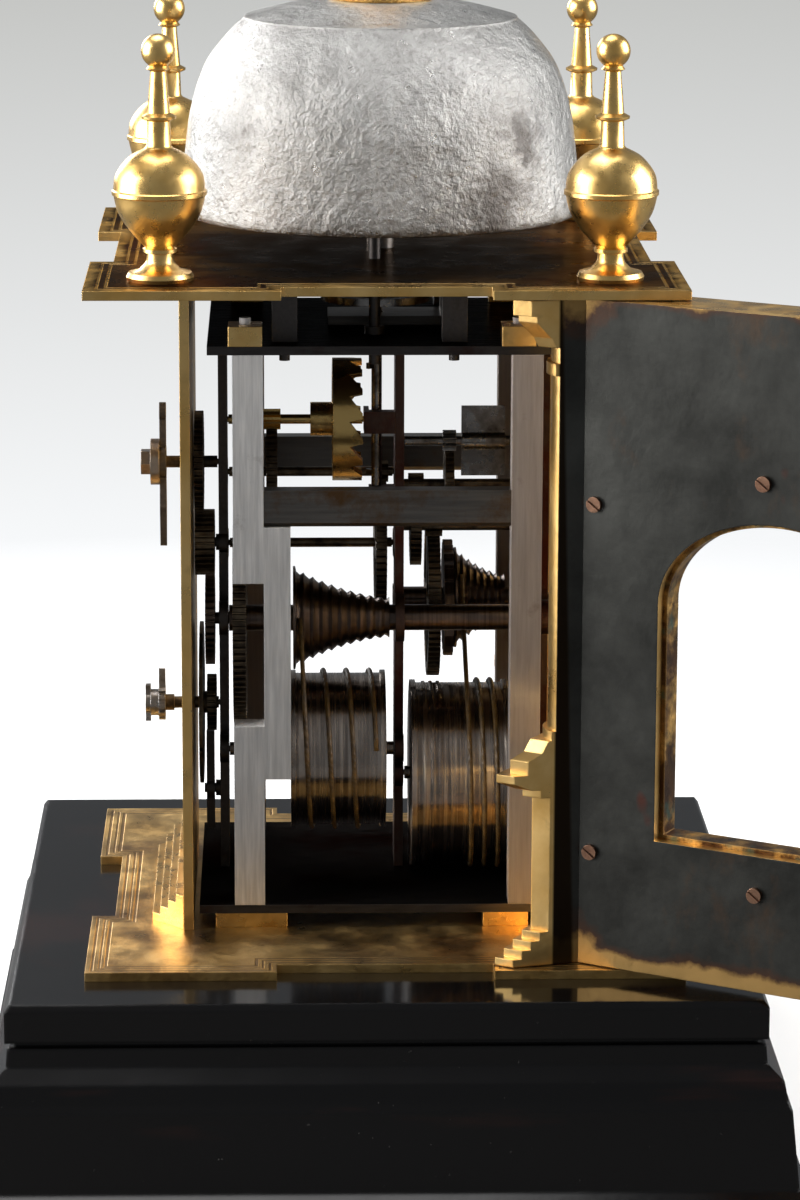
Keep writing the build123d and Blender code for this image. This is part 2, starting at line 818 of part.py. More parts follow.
potence_front = -4.4
potence_back = -3.0
potence_half_height = 3.0
foot_low = crown_centre[1] - 19.7
foot_high = foot_low + 1.5
middle_holes = [(centre, fine) for centre in going_arbors + strike_arbors + (strike_centre,)]
middle_holes += [(going_centre, going_shaft_radius + pivot_fit)]
with BuildPart() as middle_bar:
    add(pivot_bar(middle_bar_y, middle_holes))
    with BuildSketch(level(crown_centre[1] - potence_half_height)):
        with Locations((-4.3, potence_front)):
            Rectangle(8.6, potence_back - potence_front, align=Align.MIN)
        with Locations((1.2, potence_front)):
            Rectangle(3.1, middle_front - potence_front, align=Align.MIN)
    extrude(amount=2 * potence_half_height)
    add(rod(crown_centre, fine, potence_back + 0.1, potence_front - 0.1), mode=Mode.SUBTRACT)
    with BuildSketch(level(foot_low)):
        with Locations((verge_x, verge_y - 2.1)):
            Rectangle(3.6, middle_front - verge_y + 2.1, align=(Align.CENTER, Align.MIN))
        with Locations((verge_x, verge_y)):
            Circle(fine, mode=Mode.SUBTRACT)
    extrude(amount=foot_high - foot_low)
save(middle_bar, "middle_pivot_bar")

rear_holes = [(centre, fine) for centre in strike_arbors]
rear_holes += [(going_centre, winding_pivot + pivot_fit), (strike_centre, winding_pivot + pivot_fit)]
with BuildPart() as rear_bar:
    add(pivot_bar(rear_bar_y, rear_holes))
save(rear_bar, "rear_pivot_bar")


def turned(centre, outline):
    """A turned piece on an axis along Y: the outline is (y, radius) points."""
    with BuildPart() as body:
        with BuildSketch(Plane(origin=(0, 0, 0), x_dir=(0, 1, 0), z_dir=(1, 0, 0))):
            with BuildLine():
                Polyline((outline[0][0], 0), *outline, (outline[-1][0], 0), close=True)
            make_face()
        revolve(axis=Axis.Y)
    return body.part.moved(Location((centre[0], 0, deck + centre[1])))


flange_width = 0.6
groove_depth = 0.4


def groove_radius(large, small, grooves, groove):
    """The fusee's radius at a groove, falling along a hollow curve."""
    return small + (large - small) * (1 - (groove + 0.5) / grooves) ** 1.6


def fusee_outline(front, back, large, small, grooves):
    """A flange, then a hollow cone with one groove for each turn of gut."""
    pitch = (back - front - flange_width) / grooves
    points = [(front, large + 1.3), (front + flange_width, large + 1.3)]
    for groove in range(grooves):
        radius = groove_radius(large, small, grooves, groove)
        start = front + flange_width + groove * pitch
        points.append((start + 0.12 * pitch, radius + 0.45))
        points.append((start + 0.5 * pitch, radius - groove_depth))
        points.append((start + 0.88 * pitch, radius + 0.15))
    points.append((back, small + 0.6))
    return points


def barrel_outline(front, back, radius, flange):
    return (
        (front, radius + 0.8),
        (front + flange, radius + 0.8),
        (front + flange, radius),
        (back - flange, radius),
        (back - flange, radius + 0.8),
        (back, radius + 0.8),
    )


def gut_route(radius, pitch, turns, run):
    """The gut about Z: its straight run, then quarter turns of two tangent arcs each."""
    slope = pitch / (2 * math.pi)
    with BuildLine() as route:
        Line((radius, -run, -run * slope / radius), (radius, 0, 0))
        for quarter in range(round(turns * 4)):
            ends = []
            for corner in (quarter, quarter + 1):
                turn = corner * math.pi / 2
                place = Vector(radius * math.cos(turn), radius * math.sin(turn), slope * turn)
                way = Vector(-radius * math.sin(turn), radius * math.cos(turn), slope).normalized()
                ends.append((place, way))
            (start, start_way), (finish, finish_way) = ends
            span = finish - start
            along = span.dot(start_way + finish_way)
            bend = 1 - start_way.dot(finish_way)
            reach = (math.sqrt(along**2 + 2 * bend * span.dot(span)) - along) / (2 * bend)
            joint = (start + start_way * reach + finish - finish_way * reach) * 0.5
            middle_way = (finish - finish_way * reach) - (start + start_way * reach)
            TangentArc(start, joint, tangent=start_way)
            TangentArc(joint, finish, tangent=middle_way)
    return route.wire()


def gut(name, barrel_centre, barrel_radius, fusee_centre, fusee_radius, y, pitch, turns):
    """One unbroken gut line from a fusee down to its barrel and round it."""
    coil_radius = barrel_radius + gut_radius + gut_gap
    line_radius = fusee_radius + gut_radius + gut_gap
    span = math.dist(barrel_centre, fusee_centre)
    rise = math.atan2(fusee_centre[1] - barrel_centre[1], fusee_centre[0] - barrel_centre[0])
    side = rise - math.acos((coil_radius - line_radius) / span)
    run = math.sqrt(span**2 - (coil_radius - line_radius) ** 2)
    route = gut_route(coil_radius, pitch, turns, run)
    samples = 240
    points = [route.position_at(step / samples) for step in range(samples + 1)]
    apart = round(samples * math.pi * coil_radius / route.length)
    gaps = [
        (points[later] - points[earlier]).length - 2 * gut_radius
        for earlier in range(samples + 1)
        for later in range(earlier + apart, samples + 1)
    ]
    print(name, "least gap to itself", round(min(gaps), 2))
    frame = Plane(
        origin=(barrel_centre[0], y, deck + barrel_centre[1]),
        x_dir=(math.cos(side), 0, math.sin(side)),
        z_dir=(0, 1, 0),
    )
    with BuildPart() as body:
        with BuildSketch(Plane(origin=route @ 0, z_dir=route % 0)):
            Circle(gut_radius)
        sweep(path=route)
    return body.part.moved(frame.location)


gut_gap = 0.1

# Going train: the great wheel, the fusee and the motion work's driver share one arbor
going_fusee_front = -23.5
going_fusee_back = 2.4
going_fusee_large = 12.6
going_fusee_small = 5.0
going_grooves = 10
great_back = -36.0
great_thickness = 3.5
driver_back = -44.5
driver_thickness = 2.5
winding_square = 2.2
winding_end = case_half_y + 1
with BuildPart() as great_wheel:
    add(wheel(going_centre, great_teeth, 0, great_back, great_thickness))
    add(rod(going_centre, going_shaft_radius, great_back, great_back - great_thickness), mode=Mode.SUBTRACT)
save(great_wheel, "going_great_wheel")
with BuildPart() as going_fusee:
    add(turned(going_centre, fusee_outline(
        going_fusee_front, going_fusee_back, going_fusee_large, going_fusee_small, going_grooves)))
    add(rod(going_centre, going_shaft_radius, rear_inside - pivot_end_play, front_inside + pivot_end_play))
    add(rod(going_centre, winding_pivot, rear_face, rear_inside - 1))
    add(rod(going_centre, winding_pivot, front_inside + 1, driver_back))
    add(wheel(going_centre, driver_teeth, 0, driver_back, driver_thickness))
    with BuildSketch(across(winding_end)):
        with Locations(going_centre):
            Rectangle(winding_square, winding_square)
    extrude(amount=winding_end - rear_face)
save(going_fusee, "going_fusee")

barrel_flange = 1.4
barrel_arbor = 1.8
going_barrel_radius = 20.5
going_barrel_front = -24.2
going_barrel_back = 1.3
with BuildPart() as going_barrel:
    add(turned(going_barrel_centre, barrel_outline(
        going_barrel_front, going_barrel_back, going_barrel_radius, barrel_flange)))
    add(arbor(going_barrel_centre, middle_bar_y, front_bar_y, barrel_arbor))
save(going_barrel, "going_barrel")

going_gut_y = -20.0
going_line_radius = groove_radius(going_fusee_large, going_fusee_small, going_grooves, 0)
with BuildPart() as going_gut:
    add(gut("going gut", going_barrel_centre, going_barrel_radius, going_centre, going_line_radius,
            going_gut_y, 6.2, 3))
save(going_gut, "going_gut")

second_back = 2.0
second_thickness = 3.0
second_pinion_phase = mesh_phase(going_centre, great_teeth, 0, second_centre, pinion_leaves)
with BuildPart() as second_wheel:
    add(arbor(second_centre, middle_bar_y, front_bar_y))
    add(wheel(second_centre, pinion_leaves, second_pinion_phase, great_back + 0.4, great_thickness + 0.8))
    add(wheel(second_centre, second_teeth, 0, second_back, second_thickness))
save(second_wheel, "second_wheel")

third_back = -27.6
third_thickness = 3.0
third_pinion_phase = mesh_phase(second_centre, second_teeth, 0, third_centre, pinion_leaves)
with BuildPart() as third_wheel:
    add(arbor(third_centre, middle_bar_y, front_bar_y))
    add(wheel(third_centre, pinion_leaves, third_pinion_phase, second_back + 0.5, second_thickness + 1))
    add(wheel(third_centre, third_teeth, 0, third_back, third_thickness))
save(third_wheel, "third_wheel")

# Crown wheel, its saw teeth pointing back at the verge
crown_front = -12.8
crown_tip = -4.9
crown_radius = 16.5
crown_wall = 1.5
crown_disc = 1.6
crown_tooth_depth = 3.5
crown_pinion_phase = mesh_phase(third_centre, third_teeth, 0, crown_centre, pinion_leaves)
with BuildPart() as crown_wheel:
    add(rod(crown_centre, crown_radius, crown_tip, crown_front))
    add(rod(crown_centre, crown_radius - crown_wall, crown_tip, crown_front + crown_disc), mode=Mode.SUBTRACT)
    with BuildSketch(across(crown_front + crown_disc)):
        with Locations(crown_centre):
            Circle(crown_radius - 3)
            Circle(4.6, mode=Mode.SUBTRACT)
            with PolarLocations(crown_radius / 2, 4):
                Rectangle(crown_radius, 2.4, mode=Mode.SUBTRACT)
    extrude(amount=crown_disc, mode=Mode.SUBTRACT)
    tooth_width = 2 * math.pi * crown_radius / crown_teeth - 0.7
    for tooth in range(crown_teeth):
        turn = 2 * math.pi * tooth / crown_teeth
        rim_plane = Plane(
            origin=(crown_centre[0], 0, deck + crown_centre[1]),
            x_dir=(-math.sin(turn), 0, math.cos(turn)),
            z_dir=(math.cos(turn), 0, math.sin(turn)),
        )
        with BuildSketch(rim_plane.offset(crown_radius - 3)):
            with BuildLine():
                Polyline(
                    (-tooth_width / 2, -crown_tip - 0.5),
                    (tooth_width / 2, -crown_tip - 0.5),
                    (tooth_width / 2 - 0.9, crown_tooth_depth - crown_tip),
                    close=True,
                )
            make_face()
        extrude(amount=4, mode=Mode.SUBTRACT)
    add(rod(crown_centre, arbor_radius, potence_front - pivot_end_play, front_inside + pivot_end_play))
    add(rod(crown_centre, pivot_radius, potence_back - 0.3, front_face))
    add(rod(crown_centre, 4.6, crown_front, -18.7))
    add(wheel(crown_centre, pinion_leaves, crown_pinion_phase, third_back + 0.9, third_thickness + 1.8))
save(crown_wheel, "crown_wheel")

# Verge staff with two pallets, carrying the balance ring
ring_level = 162.8
ring_radius = 15.0
cock_low = 167.0
flag_place = crown_radius - 1.7
with BuildPart() as verge:
    with BuildSketch(level(foot_high + 0.2)):
        with Locations((verge_x, verge_y)):
            Circle(verge_radius)
    extrude(amount=cock_low - 0.2 - foot_high - 0.2)
    with BuildSketch(level(foot_low + 0.2)):
        with Locations((verge_x, verge_y)):
            Circle(pivot_radius)
    extrude(amount=cock_low + 1.6 - foot_low - 0.2)
    for height, angle in ((crown_centre[1] - flag_place, -40), (crown_centre[1] + flag_place, 40)):
        with BuildSketch(level(height - 0.8)):
            with Locations(Location((verge_x, verge_y, 0), (0, 0, angle - 90))):
                Rectangle(3.3, 1.0, align=(Align.MIN, Align.CENTER))
        extrude(amount=1.6)
    with BuildSketch(level(ring_level)):
        with Locations((verge_x, verge_y)):
            Circle(ring_radius)
            Circle(ring_radius - 2.2, mode=Mode.SUBTRACT)
            Rectangle(2.4, 2 * ring_radius - 1)
            Circle(3)
    extrude(amount=2.0)
save(verge, "verge_and_balance")

with BuildPart() as cock:
    with BuildSketch(level(frame_top_face)):
        with Locations((verge_x, 4.0)):
            Rectangle(15, 36)
        with Locations((verge_x, verge_y)):
            Circle(verge_radius + 0.3, mode=Mode.SUBTRACT)
    extrude(amount=2.4)
    with BuildSketch(level(frame_top_face)):
        with Locations((verge_x, 19.0)):
            Rectangle(9, 6)
    extrude(amount=cock_low - frame_top_face)
    with BuildSketch(level(cock_low)):
        with Locations((verge_x, 9.0)):
            Rectangle(7, 26)
        with Locations((verge_x, verge_y)):
            Circle(fine, mode=Mode.SUBTRACT)
    extrude(amount=1.8)
save(cock, "balance_cock")

# Strike train, behind the middle bar
strike_back = 16.6
strike_thickness = 3.4
strike_fusee_front = 20.8
strike_fusee_back = 34.6
strike_fusee_large = 12.5
strike_fusee_small = 6.0
strike_grooves = 7
ratchet_back = 20.4
ratchet_thickness = 2.6
with BuildPart() as strike_wheel:
    add(wheel(strike_centre, strike_teeth, 0, strike_back, strike_thickness))
    add(rod(strike_centre, strike_shaft_radius, strike_back, strike_back - strike_thickness), mode=Mode.SUBTRACT)
save(strike_wheel, "strike_great_wheel")
with BuildPart() as strike_fusee:
    add(turned(strike_centre, fusee_outline(
        strike_fusee_front, strike_fusee_back, strike_fusee_large, strike_fusee_small, strike_grooves)))
    add(rod(strike_centre, strike_shaft_radius, rear_inside - pivot_end_play, middle_back + pivot_end_play))
    add(rod(strike_centre, winding_pivot, rear_face, rear_inside - 1))
    add(rod(strike_centre, pivot_radius, middle_back + 1, middle_front))
    with BuildSketch(across(ratchet_back)):
        with BuildLine():
            Polyline(
                *[beyond(strike_centre, radius, tooth * 15 + shift)
                  for tooth in range(24) for radius, shift in ((14.8, 0), (16.0, 1))],
                close=True,
            )
        make_face()
    extrude(amount=ratchet_thickness)
    with BuildSketch(across(winding_end)):
        with Locations(strike_centre):
            Rectangle(winding_square, winding_square)
    extrude(amount=winding_end - rear_face)
save(strike_fusee, "strike_fusee")

strike_barrel_radius = 24.5
strike_barrel_front = 8.2
strike_barrel_back = 34.6
with BuildPart() as strike_barrel:
    add(turned(strike_barrel_centre, barrel_outline(
        strike_barrel_front, strike_barrel_back, strike_barrel_radius, barrel_flange)))
    for ring in (3.2, 5.2, 7.2):
        ring_y = strike_barrel_front + ring
        add(rod(strike_barrel_centre, strike_barrel_radius + 0.4, ring_y + 0.8, ring_y))
    add(arbor(strike_barrel_centre, rear_bar_y, middle_bar_y, barrel_arbor))
save(strike_barrel, "strike_barrel")

strike_gut_y = 23.45
strike_line_radius = groove_radius(strike_fusee_large, strike_fusee_small, strike_grooves, 0)
with BuildPart() as strike_gut:
    add(gut("strike gut", strike_barrel_centre, strike_barrel_radius, strike_centre, strike_line_radius,
            strike_gut_y, 3.6, 2.5))
save(strike_gut, "strike_gut")

pin_back = 11.4
pin_thickness = 3.0
pin_pinion_phase = mesh_phase(strike_centre, strike_teeth, 0, pin_wheel_centre, pinion_leaves)
with BuildPart() as pin_wheel:
    add(arbor(pin_wheel_centre, rear_bar_y, middle_bar_y))
    add(wheel(pin_wheel_centre, pinion_leaves, pin_pinion_phase, strike_back + 0.6, strike_thickness + 1.2))
    add(wheel(pin_wheel_centre, pin_wheel_teeth, 0, pin_back, pin_thickness))
save(pin_wheel, "pin_wheel")
warning_back = 20.0
warning_thickness = 2.4
warning_phase = mesh_phase(pin_wheel_centre, pin_wheel_teeth, 0, warning_centre, pinion_leaves)
with BuildPart() as warning_wheel:
    add(arbor(warning_centre, rear_bar_y, middle_bar_y))
    add(wheel(warning_centre, pinion_leaves, warning_phase, pin_back + 0.6, pin_thickness + 1.2))
    add(wheel(warning_centre, warning_teeth, 0, warning_back, warning_thickness))
save(warning_wheel, "warning_wheel")
fly_phase = mesh_phase(warning_centre, warning_teeth, 0, fly_centre, pinion_leaves)
vane_half = 9.5
with BuildPart() as fly:
    add(arbor(fly_centre, rear_bar_y, middle_bar_y))
    add(wheel(fly_centre, pinion_leaves, fly_phase, warning_back + 0.6, warning_thickness + 1.2))
    with BuildSketch(across(33.8)):
        with Locations(fly_centre):
            Rectangle(1.2, 2 * vane_half)
            Circle(2.4)
    extrude(amount=11.8)
save(fly, "strike_fly")

# Hammer: an upright arbor with a head inside the bell and a tail below
tail_level = 149.0
hammer_top = rim_level + 8.5
head_end = bell_rim_radius - bell_wall - 2.6
arm_level = hammer_top - 3.0
with BuildPart() as hammer:
    with BuildSketch(level(tail_level)):
        with Locations((hammer_x, hammer_y)):
            Circle(hammer_rod)
    extrude(amount=hammer_top - tail_level)
    with BuildSketch(level(frame_top_face + 0.3)):
        with Locations((hammer_x, hammer_y)):
            Circle(hammer_rod + 1.1)
    extrude(amount=2.0)
    with BuildSketch(level(tail_level)):
        with Locations((hammer_x - 7, hammer_y)):
            Rectangle(14, 2.4)
    extrude(amount=2.2)
    with BuildSketch(level(arm_level)):
        with Locations((hammer_x, hammer_y)):
            Rectangle(head_end - 6 - hammer_x, 2.2, align=(Align.MIN, Align.CENTER))
    extrude(amount=2.4)
    with BuildSketch(Plane.YZ.offset(head_end - 8)):
        with Locations((hammer_y, deck + arm_level + 1.2)):
            Circle(3.6)
    extrude(amount=8)
save(hammer, "strike_hammer")

# Motion work behind the dial: the idler, the hour wheel and the main hand
idler_phase = mesh_phase(going_centre, driver_teeth, 0, idler_centre, idler_teeth)
with BuildPart() as idler:
    add(wheel(idler_centre, idler_teeth, idler_phase, idler_back, idler_length, 0))
    add(rod(idler_centre, arbor_radius + pivot_fit, idler_back, idler_back - idler_length), mode=Mode.SUBTRACT)
save(idler, "motion_idler")
hour_back = -47.4
hour_thickness = 2.4
hand_clear = 4.6
hand_back = -case_half_y - hand_clear
hand_thickness = 1.8
collar_thickness = 2.4
hand_nut_back = hand_back - hand_thickness - collar_thickness
hand_nut_thickness = 2.6
hour_phase = mesh_phase(idler_centre, idler_teeth, idler_phase, hour_centre, hour_teeth)
with BuildPart() as hour_wheel:
    add(wheel(hour_centre, hour_teeth, hour_phase, hour_back, hour_thickness))
    add(rod(hour_centre, hand_arbor_radius, front_face - 0.3, hand_nut_back - 2))
    add(rod(hour_centre, pivot_radius, front_inside, front_face - 0.4))
save(hour_wheel, "hour_wheel")
with BuildPart() as main_hand:
    with BuildSketch(across(hand_back)):
        with Locations(hour_centre):
            Circle(4.4)
            Rectangle(1.8, 15, align=(Align.CENTER, Align.MIN))
            with Locations((0, 13.8)):
                Circle(2.4)
            Polygon((-1.2, -3), (-2.6, -12), (0, -23.1), (2.6, -12), (1.2, -3), align=None)
            Circle(hand_arbor_radius, mode=Mode.SUBTRACT)
    extrude(amount=hand_thickness)
save(main_hand, "main_hand")
with BuildPart() as hand_nut:
    add(rod(hour_centre, 6.2, hand_back - hand_thickness, hand_nut_back))
    with BuildSketch(across(hand_nut_back)):
        with Locations(hour_centre):
            RegularPolygon(3.6, 6)
    extrude(amount=hand_nut_thickness)
    add(rod(hour_centre, hand_arbor_radius, hand_back, hand_nut_back - 2), mode=Mode.SUBTRACT)
save(hand_nut, "hand_collar_and_nut")

# Count wheel with its own small hand
count_radius = 22.0
count_back = -47.8
count_thickness = 1.0
count_wheel_back = -44.3
count_wheel_thickness = 2.6
small_hand_clear = 5.4
small_hand_back = -case_half_y - small_hand_clear
small_hand_thickness = 1.8
wing_back = small_hand_back - small_hand_thickness - 2.2
with BuildPart() as count_wheel:
    add(rod(count_centre, count_radius, count_back, count_back - count_thickness))
    with BuildSketch(across(count_back)):
        with Locations(count_centre):
            with PolarLocations(count_radius - 0.6, 12, start_angle=9):
                Rectangle(2.6, 1.6)
            with PolarLocations(count_radius * 0.55, 5):
                Circle(4.6)
    extrude(amount=count_thickness, mode=Mode.SUBTRACT)
    add(wheel(count_centre, count_teeth, 0, count_wheel_back, count_wheel_thickness, 0))
    add(rod(count_centre, 3.0, count_wheel_back, count_back - count_thickness))
    add(rod(count_centre, hand_arbor_radius, front_face - 0.3, wing_back - 0.4))
    add(rod(count_centre, pivot_radius, front_inside, front_face - 0.4))
    add(rod(count_centre, 2.2, small_hand_back + 2.4, small_hand_back))
save(count_wheel, "count_wheel")
with BuildPart() as small_hand:
    with BuildSketch(across(small_hand_back)):
        with Locations(count_centre):
            Circle(3.8)
            with PolarLocations(4.0, 12):
                Rectangle(1.6, 1.2)
            Polygon((-1.6, 3), (0, 9.5), (1.6, 3), align=None)
    extrude(amount=small_hand_thickness)
    add(rod(count_centre, 3.6, small_hand_back - small_hand_thickness, wing_back))
    with BuildSketch(across(wing_back)):
        with Locations(count_centre):
            Rectangle(2.2, 10)
            Circle(2.8)
    extrude(amount=1.4)
    add(rod(count_centre, hand_arbor_radius, small_hand_back, wing_back - 0.4), mode=Mode.SUBTRACT)
save(small_hand, "small_hand")

# Detent lever on its stud in front of the pivot bar
with BuildPart() as lever:
    with BuildSketch(across(lever_back)):
        with Locations(lever_centre):
            Circle(3.2)
            Polygon((-2.2, 0), (-3.4, -11), (2.4, -11), (2.2, 0), align=None)
            Polygon((-2.2, 0), (2.2, 0), (1.6, 16.4), (-0.6, 16.4), align=None)
            Circle(arbor_radius + pivot_fit, mode=Mode.SUBTRACT)
    extrude(amount=lever_thickness)
save(lever, "detent_lever")
for name, centre in (
    ("second", second_centre),
    ("third", third_centre),
    ("crown", crown_centre),
    ("pin wheel", pin_wheel_centre),
    ("warning", warning_centre),
    ("fly", fly_centre),
    ("idler", idler_centre),
):
    print(name, "centre", round(centre[0], 3), round(centre[1] + deck, 3))
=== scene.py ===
import math

import bmesh
import bpy
from mathutils import Matrix, Vector


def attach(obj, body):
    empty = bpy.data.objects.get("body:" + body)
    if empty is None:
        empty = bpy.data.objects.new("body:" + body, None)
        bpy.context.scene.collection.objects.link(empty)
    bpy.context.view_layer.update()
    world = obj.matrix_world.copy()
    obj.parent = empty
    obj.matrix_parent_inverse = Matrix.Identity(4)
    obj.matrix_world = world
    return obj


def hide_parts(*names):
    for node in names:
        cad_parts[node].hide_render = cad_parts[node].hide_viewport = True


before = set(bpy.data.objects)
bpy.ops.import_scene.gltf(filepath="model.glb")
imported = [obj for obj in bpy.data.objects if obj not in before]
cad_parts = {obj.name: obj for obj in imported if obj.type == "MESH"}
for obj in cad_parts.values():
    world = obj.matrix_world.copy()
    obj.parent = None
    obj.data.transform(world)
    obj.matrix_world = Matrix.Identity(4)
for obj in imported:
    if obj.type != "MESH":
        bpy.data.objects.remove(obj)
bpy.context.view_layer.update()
scene = bpy.context.scene
scene.view_settings.view_transform = "Standard"

# The camera stands where the photograph was taken, level with the bell and looking a little
# down at the open right side. It was fitted to the edges of the case, plates and doors.
CAMERA_PLACE = Vector((1.14146, -0.02666, 0.40753))
CAMERA_YAW = math.radians(1.615)
CAMERA_PITCH = math.radians(13.057)
CAMERA_ROLL = math.radians(0.184)
CAMERA_LENS = 129.7

looking = Vector((
    -math.cos(CAMERA_YAW) * math.cos(CAMERA_PITCH),
    math.sin(CAMERA_YAW) * math.cos(CAMERA_PITCH),
    -math.sin(CAMERA_PITCH),
))
level_right = looking.cross(Vector((0, 0, 1))).normalized()
level_up = level_right.cross(looking)
right = math.cos(CAMERA_ROLL) * level_right + math.sin(CAMERA_ROLL) * level_up
up = math.cos(CAMERA_ROLL) * level_up - math.sin(CAMERA_ROLL) * level_right
camera_data = bpy.data.cameras.new("camera")
camera_data.lens = CAMERA_LENS
camera_data.sensor_width = 36
camera_data.clip_end = 20
camera = bpy.data.objects.new("camera", camera_data)
turning = Matrix((right, up, -looking)).transposed().to_4x4()
camera.matrix_world = Matrix.Translation(CAMERA_PLACE) @ turning
scene.collection.objects.link(camera)
scene.camera = camera


# The wood base is a pear-wood block, ebonised and polished, its mouldings run in steps under
# a bevelled slab. Specks of dust lie on it, and a red-brown ground shows through in streaks.
def new_finish(name):
    """An empty material with its shader and its own object-space pattern coordinates."""
    finish = bpy.data.materials.new(name)
    finish.use_nodes = True
    tree = finish.node_tree
    shader = tree.nodes["Principled BSDF"]
    place = tree.nodes.new("ShaderNodeTexCoord")
    return finish, tree, shader, place.outputs["Object"]


def mottle(tree, place, scale, detail=4.0, stretch=(1, 1, 1), rough=0.6):
    """Cloudy noise on the object's own coordinates, from 0 to 1."""
    mapping = tree.nodes.new("ShaderNodeMapping")
    mapping.inputs["Scale"].default_value = stretch
    tree.links.new(place, mapping.inputs["Vector"])
    noise = tree.nodes.new("ShaderNodeTexNoise")
    noise.inputs["Scale"].default_value = scale
    noise.inputs["Detail"].default_value = detail
    noise.inputs["Roughness"].default_value = rough
    tree.links.new(mapping.outputs["Vector"], noise.inputs["Vector"])
    return noise.outputs["Fac"]


def remap(tree, value, low, high, to_low, to_high):
    """Stretches a value between two limits onto two others, and stops at them."""
    node = tree.nodes.new("ShaderNodeMapRange")
    for number, limit in zip((1, 2, 3, 4), (low, high, to_low, to_high)):
        node.inputs[number].default_value = limit
    tree.links.new(value, node.inputs[0])
    return node.outputs[0]


def blend_colour(tree, share, first, second):
    """Mixes two colours, each a tuple or a socket, by a share that is a socket."""
    node = tree.nodes.new("ShaderNodeMix")
    node.data_type = "RGBA"
    tree.links.new(share, node.inputs["Factor"])
    for socket, colour in ((node.inputs[6], first), (node.inputs[7], second)):
        if isinstance(colour, tuple):
            socket.default_value = (*colour, 1)
        else:
            tree.links.new(colour, socket)
    return node.outputs[2]


def combine(tree, operation, first, second):
    """A maths step on sockets or plain numbers."""
    node = tree.nodes.new("ShaderNodeMath")
    node.operation = operation
    for socket, value in ((node.inputs[0], first), (node.inputs[1], second)):
        if isinstance(value, (int, float)):
            socket.default_value = value
        else:
            tree.links.new(value, socket)
    return node.outputs[0]


def raise_grain(tree, shader, height, depth, strength=1.0, corner=0.0):
    """Bumps the surface by a height pattern, over corners that are slightly rounded."""
    bump = tree.nodes.new("ShaderNodeBump")
    bump.inputs["Distance"].default_value = depth
    bump.inputs["Strength"].default_value = strength
    tree.links.new(height, bump.inputs["Height"])
    if corner:
        rounding = tree.nodes.new("ShaderNodeBevel")
        rounding.samples = 3
        rounding.inputs["Radius"].default_value = corner
        tree.links.new(rounding.outputs["Normal"], bump.inputs["Normal"])
    tree.links.new(bump.outputs["Normal"], shader.inputs["Normal"])


def edge_wear(tree, radius):
    """1 on the sharp outside and inside corners of a piece and 0 on its flats."""
    rounding = tree.nodes.new("ShaderNodeBevel")
    rounding.samples = 4
    rounding.inputs["Radius"].default_value = radius
    flat = tree.nodes.new("ShaderNodeNewGeometry")
    facing = tree.nodes.new("ShaderNodeVectorMath")
    facing.operation = "DOT_PRODUCT"
    tree.links.new(rounding.outputs["Normal"], facing.inputs[0])
    tree.links.new(flat.outputs["True Normal"], facing.inputs[1])
    return remap(tree, facing.outputs["Value"], 0.999, 0.9, 0.0, 1.0)


def clad(node, finish):
    """Gives a CAD node its finish."""
    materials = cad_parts[node].data.materials
    materials.clear()
    materials.append(finish)


BLACK = (0.0035, 0.003, 0.003)
RED_GROUND = (0.020, 0.007, 0.005)
DUST = (0.16, 0.15, 0.14)
black_polish, tree, shader, place = new_finish("ebonised_wood")
ground = remap(tree, mottle(tree, place, 9, stretch=(1, 1, 9)), 0.6, 0.75, 0, 1)
lacquer = blend_colour(tree, ground, BLACK, RED_GROUND)
specks = remap(tree, mottle(tree, place, 620, 2), 0.73, 0.78, 0, 1)
patchy = remap(tree, mottle(tree, place, 22), 0.45, 0.65, 0, 0.7)
dusting = combine(tree, "MULTIPLY", specks, patchy)
tree.links.new(blend_colour(tree, dusting, lacquer, DUST), shader.inputs["Base Color"])
smear = remap(tree, mottle(tree, place, 14, 6), 0.3, 0.75, 0.10, 0.24)
roughness = combine(tree, "ADD", smear, combine(tree, "MULTIPLY", dusting, 0.4))
tree.links.new(roughness, shader.inputs["Roughness"])
shader.inputs["Specular IOR Level"].default_value = 0.3
shader.inputs["Coat Weight"].default_value = 0.1
shader.inputs["Coat Roughness"].default_value = 0.06
raise_grain(tree, shader, mottle(tree, place, 60, 3), 0.0004, 0.15, corner=0.0012)
clad("wood_base", black_polish)


# The base plate is cast brass, engraved and fire gilt, let down on the wood. Its corner blocks
# stand proud of the sides, and the gilding is rubbed brown where the case has been lifted off.
GILT = (0.72, 0.43, 0.13)
GILT_PALE = (0.86, 0.58, 0.23)
GILT_WORN = (0.24, 0.13, 0.05)
BASE_PLATE_HALF = 0.0776
PLATE_BLOCK = 0.0495
PLATE_RECESS = 0.0061


def cloudy_gilt(tree, place, scale, gold=GILT, pale=GILT_PALE):
    """Gilding that drifts in clouds from one gold to a paler one."""
    share = remap(tree, mottle(tree, place, scale), 0.35, 0.65, 0, 1)
    return blend_colour(tree, share, gold, pale)


def uneven_metal(tree, shader, pattern, smoothest, roughest):
    """Makes the surface metal, with a polish that follows a pattern."""
    shader.inputs["Metallic"].default_value = 1
    roughness = remap(tree, pattern, 0.3, 0.7, smoothest, roughest)
    tree.links.new(roughness, shader.inputs["Roughness"])


